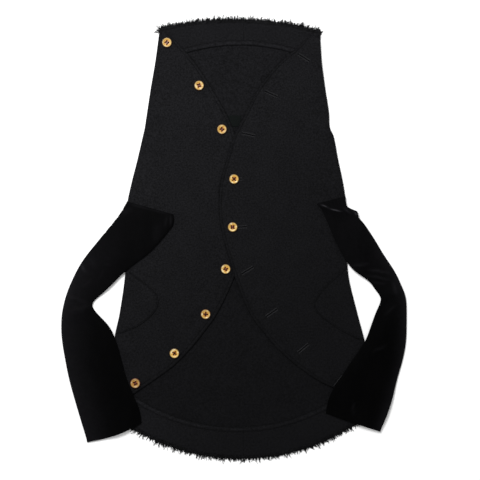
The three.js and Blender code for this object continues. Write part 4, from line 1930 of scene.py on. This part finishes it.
def ring_faces(start: int, rings: int, sides: int) -> list[tuple[int, ...]]:
    """The faces between rings of points that follow each other.

    Args:
        start: The first point of the first ring.
        rings: How many rings there are.
        sides: How many points a ring has.

    Returns:
        The faces.
    """
    faces = []
    for ring in range(rings - 1):
        for side in range(sides):
            first = start + ring * sides
            low, beside = first + side, first + (side + 1) % sides
            faces.append((low, beside, beside + sides, low + sides))
    return faces


@dataclass(frozen=True)
class Buttons:
    """Nine four-hole buttons with a raised rim, and the thread that holds them."""

    radius: float = 10.9 * MM
    profile: tuple[Point, ...] = (
        (0.0, 0.0), (8.4, 0.05), (9.9, 0.45), (10.6, 1.1), (10.9, 1.9), (10.7, 2.7), (10.2, 3.3),
        (9.6, 3.7), (8.9, 3.8), (8.2, 3.65), (7.5, 3.25), (6.8, 2.85), (5.8, 2.65), (3.0, 2.6), (0.0, 2.6),
    )
    sides: int = 72
    hole_radius: float = 1.5 * MM
    hole_offset: float = 2.8 * MM
    hole_sides: int = 20
    hole_depth: float = 20 * MM
    floor: float = 2.6 * MM
    thread: float = 0.7 * MM
    thread_sides: int = 8
    thread_rise: float = 1.0 * MM
    thread_path: tuple[Point, ...] = (
        (0.0, -2.2), (0.03, -0.3), (0.2, 0.75), (0.5, 1.0), (0.8, 0.75), (0.97, -0.3), (1.0, -2.2),
    )
    thread_end: float = 0.1  # the share of its way in which a thread stands upright in a hole
    thread_stack: float = 0.5  # how far the second thread lies over the first, in radii

    def corners(self) -> list[Point]:
        """The middles of the four holes."""
        return [(x * self.hole_offset, y * self.hole_offset) for x in (-1, 1) for y in (-1, 1)]

    def disc(self) -> Mesh:
        """The turned disc, without its holes.

        Returns:
            The mesh.
        """
        rings = self.profile[1:-1]
        points = [(0.0, 0.0, self.profile[0][1] * MM), (0.0, 0.0, self.profile[-1][1] * MM)]
        for radius, height in rings:
            for side in range(self.sides):
                angle = 2 * math.pi * side / self.sides
                points.append((radius * MM * math.cos(angle), radius * MM * math.sin(angle), height * MM))
        faces = ring_faces(2, len(rings), self.sides)
        last = 2 + (len(rings) - 1) * self.sides
        for side in range(self.sides):
            beside = (side + 1) % self.sides
            faces += [(0, 2 + beside, 2 + side), (1, last + side, last + beside)]
        mesh = bpy.data.meshes.new("button_disc")
        mesh.from_pydata(points, [], faces)
        return mesh

    def drills(self) -> Mesh:
        """Four short rods where the holes go.

        Returns:
            The mesh.
        """
        made = bmesh.new()
        for x, y in self.corners():
            rod = bmesh.ops.create_cone(
                made,
                segments=self.hole_sides,
                cap_ends=True,
                radius1=self.hole_radius,
                radius2=self.hole_radius,
                depth=self.hole_depth,
            )
            bmesh.ops.translate(made, verts=rod["verts"], vec=(x, y, 0))
        return closed_mesh("button_drills", made)

    def button(self) -> Object:
        """One button at the origin, which knows each point's place on it.

        Returns:
            The button.
        """
        disc = add_object("button_disc", self.disc())
        mesh = without(disc, self.drills())
        bpy.data.objects.remove(disc)
        places = mesh.attributes.new(NutFinish.attribute, "FLOAT_VECTOR", "POINT")
        for vertex, place in zip(mesh.vertices, places.data, strict=True):
            place.vector = (vertex.co.x / self.radius, vertex.co.y / self.radius, 0.0)
        return add_object("button_pattern", mesh)

    def tie(self, kind: Tie) -> Object:
        """The thread of one button at the origin.

        Args:
            kind: How it runs through the holes.

        Returns:
            The thread.
        """
        low_left, high_left, low_right, high_right = self.corners()
        ends = {
            Tie.PARALLEL: ((low_left, low_right), (high_left, high_right)),
            Tie.CROSSED: ((low_left, high_right), (high_left, low_right)),
        }[kind]
        points: list[Vector] = []
        faces: list[tuple[int, ...]] = []
        sides = self.thread_sides
        for level, (start, end) in enumerate(ends):
            along = (Vector(end) - Vector(start)).normalized().to_3d()
            across = Vector((-along.y, along.x, 0))
            first = len(points)
            for share, rise in self.thread_path:
                is_flat = self.thread_end < share < 1 - self.thread_end
                upright = Vector((0, 0, 1)) if is_flat else along * (-1 if share < 0.5 else 1)
                middle = Vector((*mix_points(start, end, share), self.floor + rise * self.thread_rise))
                middle.z += level * self.thread_stack * self.thread if rise > 0 else 0
                for side in range(sides):
                    angle = 2 * math.pi * side / sides
                    outward = across * math.cos(angle) + upright * math.sin(angle)
                    points.append(middle + outward * self.thread)
            faces += ring_faces(first, len(self.thread_path), sides)
            last = len(points) - sides
            faces += [tuple(range(first + sides - 1, first - 1, -1)), tuple(range(last, last + sides))]
        name = f"tie_{kind.value}"
        return add_object(name, outward_mesh(name, points, faces))

    def build(self, finishes: Finishes) -> None:
        """Makes the buttons and their threads.

        Args:
            finishes: The garment's materials.
        """
        tree = button_tree()
        bases = [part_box(f"button_{i + 1}")[0][2] for i in range(len(BUTTON_PLACES))]
        spots = list(zip(BUTTON_PLACES, bases, strict=True))
        pattern = self.button()
        buttons = self.sewn("buttons", spots, tree, {"Copied": pattern, "Material": finishes.nut})
        settle(buttons, [f"button_{i + 1}" for i in range(len(spots))])
        bpy.data.objects.remove(pattern)
        for kind in Tie:
            pattern = self.tie(kind)
            values = {"Copied": pattern, "Material": finishes.button_thread}
            chosen = [spot for spot in spots if spot[0].tie is kind]
            settle(self.sewn(f"button_thread_{kind.value}", chosen, tree, values))
            bpy.data.objects.remove(pattern)

    def sewn(
        self,
        name: str,
        spots: Sequence[tuple[ButtonPlace, float]],
        tree: NodeTree,
        values: dict[str, Any],
    ) -> Object:
        """Puts one copy of a part on each place.

        Args:
            name: The piece's name.
            spots: The places and how high each one is.
            tree: The tree that copies.
            values: The tree's inputs.

        Returns:
            The piece.
        """
        path = [Vector((place.x * MM, place.y * MM, height)) for place, height in spots]
        turns = [math.radians(place.turn) for place, _ in spots]
        tones = [place.tone for place, _ in spots]
        return grown(name, [path], tree, values, {"turn": turns, TONE: tones})


@dataclass(frozen=True)
class Stitch:
    """A kind of stitch: its size, how far apart and how far turned to their line they lie."""

    length: float
    width: float
    height: float
    pitch: float
    turn: float
    seed: int

    def sew(self, name: str, paths: Sequence[Sequence[Vector]], thread: Material) -> None:
        """Lays the stitches along the paths, as one piece."""
        values = {**tree_inputs(self), "Material": thread}
        settle(grown(name, paths, StitchForm().tree(), values))


@dataclass(frozen=True)
class HolePlace:
    """The middle and the turn of one buttonhole, in millimetres and degrees."""

    x: float
    y: float
    turn: float


HOLE_PLACES = (
    HolePlace(151, 390, -32),
    HolePlace(81, 312, -24),
    HolePlace(32, 225, -12),
    HolePlace(4, 129, 0),
    HolePlace(14, 26, 4),
    HolePlace(30, -67, 31),
    HolePlace(82, -158, 35),
    HolePlace(150, -234, 40),
    HolePlace(226, -305, 52),
)


@dataclass(frozen=True)
class Buttonholes:
    """Nine sewn buttonholes in the right front."""

    length: float = 28 * MM
    width: float = 1 * MM
    depth: float = 30 * MM
    bar: float = 2.5 * MM
    pieces: int = 10
    lift: float = 0.1 * MM
    stitch: Stitch = Stitch(2.5 * MM, 0.8 * MM, 0.6 * MM, pitch=1.1 * MM, turn=math.pi / 2, seed=3)

    def cut(self, piece: Object) -> None:
        """Cuts the slits in a front.

        Args:
            piece: The front.
        """
        made = bmesh.new()
        for place in HOLE_PLACES:
            box = bmesh.ops.create_cube(made, size=1.0)["verts"]
            bmesh.ops.scale(made, verts=box, vec=(self.length, self.width, self.depth))
            turn = math.radians(place.turn)
            for vertex in box:
                x, y, z = vertex.co
                vertex.co = (
                    place.x * MM + x * math.cos(turn) - y * math.sin(turn),
                    place.y * MM + x * math.sin(turn) + y * math.cos(turn),
                    z,
                )
        piece.data = without(piece, closed_mesh("slits", made))
        piece.data.name = piece.name

    def paths(self, surface: Surface) -> list[list[Vector]]:
        """The lines that the stitches follow, one on each side of every slit.

        Args:
            surface: The front's surface.

        Returns:
            The lines.
        """
        paths = []
        for place in HOLE_PLACES:
            turn = math.radians(place.turn)
            along = Vector((math.cos(turn), math.sin(turn)))
            across = Vector((-along.y, along.x))
            for side in (-1, 1):
                path = []
                for share in steps(self.pieces):
                    spot = Vector((place.x, place.y)) * MM + along * (share - 0.5) * self.length
                    spot += across * side * self.bar
                    path.append(surface.point_on(*spot, self.lift))
                paths.append(path)
        return paths

    def build(self, finishes: Finishes, front: Object) -> None:
        """Sews the slits of a front."""
        self.stitch.sew("buttonhole_stitches", self.paths(Surface(front)), finishes.hole_thread)


# ---- Seams and frayed hems ----


@dataclass(frozen=True)
class Seams:
    """The rows of stitches along the turned edges."""

    stitch: Stitch = Stitch(2.3 * MM, 0.6 * MM, 0.5 * MM, pitch=3.0 * MM, turn=0.0, seed=5)
    sink: float = 0.02 * MM

    def build(self, finishes: Finishes, panels: Sequence[EdgedPanel]) -> None:
        """Sews the edges.

        Args:
            finishes: The garment's materials.
            panels: The panels whose edges are sewn.
        """
        paths = []
        for panel in panels:
            surface = Surface(bpy.data.objects[panel.name])
            paths.append([surface.point_on(x, y, -self.sink) for x, y in panel.seam()])
        self.stitch.sew("edge_stitches", paths, finishes.seam_thread)


@dataclass(frozen=True)
class StrandRun:
    """One kind of loose strand along a hem, with its lengths in millimetres."""

    name: str
    pitch: float
    shortest: float
    longest: float
    thickness: float
    curl: float
    lift: float
    lean: float
    clump: float
    sink: float
    height: float | None  # none where the strands lie on the uppermost cloth
    seed: int

    def inputs(self) -> dict[str, Any]:
        """What the tree is told of the strands, in metres.

        Returns:
            The values, by the inputs' names.
        """
        lengths = ("pitch", "shortest", "longest", "thickness", "curl", "lift")
        values = {name.title(): getattr(self, name) * MM for name in lengths}
        return {**values, "Lean": self.lean, "Clump": self.clump}


STRAND_RUNS = (
    StrandRun("tufts", 1.2, 5.5, 8.5, 2.0, 1.0, 0.4, lean=0.4, clump=200.0, sink=2, height=0.9, seed=1),
    StrandRun("yarns", 2.9, 8.0, 13.0, 2.3, 1.8, 0.8, lean=0.5, clump=180.0, sink=2, height=1.6, seed=2),
    StrandRun("nap", 1.5, 5.0, 9.0, 1.4, 1.5, 0.5, lean=0.6, clump=130.0, sink=7, height=None, seed=3),
    StrandRun("hairs", 6.0, 9.0, 15.0, 1.2, 2.4, 1.0, lean=0.8, clump=90.0, sink=2, height=1.8, seed=4),
)


@dataclass(frozen=True)
class FrayedHem:
    """The frayed edge of one hem."""

    hem: Hem
    spacing: float = 2 * MM
    corner: float = 5 * MM
    bedded: float = 0.3  # how high a strand's line lies over the cloth, in its own thickness

    @property
    def node(self) -> str:
        """The solid that this edge replaces."""
        return f"fringe_{self.hem.label}"

    def plan(self, sink: float) -> list[Point]:
        """The hem's line in plan, with the strands' side on its left.

        Args:
            sink: How far inside the cloth's edge it runs.

        Returns:
            The line's points.
        """
        hem, end = HEMS[self.hem], HEM_CORNERS[self.hem]
        left, right = (math.asin((SEAMS[side](end) / MM - hem.x) / hem.radius) for side in Side)
        start, stop = (left, right) if self.hem is Hem.NECK else (right, left)
        radius = hem.radius * MM - sink
        count = math.ceil(abs(stop - start) * radius / self.spacing)
        angles = [mix(start, stop, share) for share in steps(count)]
        middle_x, middle_y = hem.x * MM, hem.y * MM
        line = [
            (middle_x + radius * math.sin(angle), middle_y + self.hem.value * radius * math.cos(angle))
            for angle in angles
        ]
        if self.hem is Hem.SKIRT:
            return line
        (_, first), (_, last) = line[0], line[-1]
        ends = [
            (SEAMS[side](y - self.corner) - side.value * sink, y - self.corner)
            for side, y in zip(Side, (first, last), strict=True)
        ]
        return [ends[0], *line, ends[1]]

    def path(self, run: StrandRun, cloths: Surface) -> list[Vector]:
        """The line that one kind of strand grows from.

        Args:
            run: The kind of strand.
            cloths: The cloths at the hem.

        Returns:
            The line's points.
        """
        plan = self.plan(run.sink * MM)
        if run.height is not None:
            return [Vector((x, y, run.height * MM)) for x, y in plan]
        return [cloths.point_on(x, y, self.bedded * run.thickness * MM) for x, y in plan]

    def build(self, finishes: Finishes, tree: NodeTree, cloths: Surface) -> None:
        """Grows the strands.

        Args:
            finishes: The garment's materials.
            tree: The tree that grows them.
            cloths: The cloths at the hem.
        """
        for run in STRAND_RUNS:
            values = {**run.inputs(), "Seed": run.seed * 10 + self.hem.value, "Material": finishes.yarn}
            piece = grown(f"{self.node}_{run.name}", [self.path(run, cloths)], tree, values)
            settle(piece, [self.node] if run is STRAND_RUNS[0] else [])


# ---- Studio ----


@dataclass(frozen=True)
class Studio:
    """A white table, soft light from above the neck hem, and a camera that looks straight down."""

    floor: float = 6.0
    floor_drop: float = 0.3 * MM
    sky: float = 0.62
    lamp_place: tuple[float, float, float] = (-0.6, 1.0, 1.9)
    lamp_size: float = 0.9
    lamp_power: float = 48.0
    lens: float = 85.0
    sensor: float = 36.0
    view_width: float = 1.032
    view_middle: Point = (0.0138, -0.0017)
    cloth_top: float = 4 * MM

    def build(self) -> None:
        """Makes the floor, the lights and the camera."""
        scene = bpy.context.scene
        half = self.floor / 2
        mesh = bpy.data.meshes.new("table")
        corners = [(-half, -half), (half, -half), (half, half), (-half, half)]
        mesh.from_pydata([(x, y, -self.floor_drop) for x, y in corners], [], [(0, 1, 2, 3)])
        add_object("table", mesh, PaperFinish().material())
        world = bpy.data.worlds.new("sky")
        world.use_nodes = True
        background = world.node_tree.nodes["Background"].inputs
        background["Color"].default_value = (1.0, 1.0, 1.0, 1.0)
        background["Strength"].default_value = self.sky
        scene.world = world
        lamp = bpy.data.lights.new("window", "AREA")
        lamp.size, lamp.energy = self.lamp_size, self.lamp_power
        lit = bpy.data.objects.new("window", lamp)
        lit.location = self.lamp_place
        lit.rotation_euler = (-Vector(self.lamp_place)).to_track_quat("-Z", "Y").to_euler()
        scene.collection.objects.link(lit)
        eye = bpy.data.cameras.new("camera")
        eye.lens, eye.sensor_width = self.lens, self.sensor
        camera = bpy.data.objects.new("camera", eye)
        camera.location = (*self.view_middle, self.cloth_top + self.view_width * self.lens / self.sensor)
        scene.collection.objects.link(camera)
        scene.camera = camera
        scene.view_settings.view_transform = "Standard"


LEFT_RIDGES = (
    Ridge(-227, 78, -180, 65, 0.7, 2.6),
    Ridge(-180, 65, -141, 54, 0.6, 2.4),
    Ridge(-134.6, 52, -135, 28, 0.9, 2.0),
    Ridge(-144, 50, -146, 25, 0.6, 2.6),
    Ridge(-222, 68, -236, 50, 0.5, 6),
    Ridge(-158, 40, -172, -10, 0.3, 9),
    Ridge(-330, -50, -316, -75, 0.5, 4),
    Ridge(-308, -36, -296, -62, 0.3, 5),
    Ridge(-281, -38, -259, -45, 0.3, 2.5),
    Ridge(-285, -49, -262, -55, 0.3, 2.5),
    Ridge(-277, -66, -293, -88, 0.25, 3),
    Ridge(-326, -100, -302, -86, 0.3, 3),
    Ridge(-309, -137, -352, -122, 0.35, 5),
    Ridge(-306, -141, -347, -156, 0.4, 5),
)
RIGHT_RIDGES = (
    Ridge(186, 76, 203, 66, 1.6, 2.0),
    Ridge(203, 66, 233, 58.5, 1.8, 2.0),
    Ridge(236, 67, 252, 55, 0.9, 2.6),
    Ridge(244, 70, 262, 58, 0.9, 2.6),
    Ridge(262, 60, 266, 50, 1.2, 3.0),
    Ridge(255, -57.5, 289, -53, 0.8, 2.6),
    Ridge(289, -66, 336, -73, 0.9, 2.6),
    Ridge(285, -79, 336, -86, 0.8, 2.6),
    Ridge(293, -92, 328, -96, 0.6, 2.6),
    Ridge(343, -92, 351, -122, 0.7, 4.0),
    Ridge(325, -163, 351, -141, 0.4, 3.0),
    Ridge(298, -242, 328, -228, 0.5, 3.0),
    Ridge(255, -346, 258, -378, 0.5, 3.0),
)


def main() -> None:
    """Builds the jacket."""
    logging.basicConfig(level=logging.INFO, format="%(name)s: %(message)s")
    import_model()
    Studio().build()
    finishes = Finishes.make()
    Back().build(finishes)
    facings = [Facing(side, hem=hem) for hem in Hem for side in Side]
    fronts = [Front(Side.LEFT, edge=TurnedEdge(dark_rim=2 * MM)), Front(Side.RIGHT)]
    pockets = [Pocket(side) for side in Side]
    for piece in (*facings, *fronts, *pockets, Label()):
        piece.build(finishes)
    Sleeve(Side.LEFT, LEFT_RIDGES, 0.8, 40 * MM).build(finishes)
    Sleeve(Side.RIGHT, RIGHT_RIDGES, 0.7, 13 * MM, haze=0.24).build(finishes)
    Buttons().build(finishes)
    Buttonholes().build(finishes, bpy.data.objects["front_right_cloth"])
    Seams().build(finishes, (*fronts, *pockets, *facings))
    tree = StrandForm().tree()
    cloths = Surface(*(bpy.data.objects[panel.name] for panel in (*facings, *fronts)))
    for hem in Hem:
        FrayedHem(hem).build(finishes, tree, cloths)


if __name__ == "__main__":
    main()
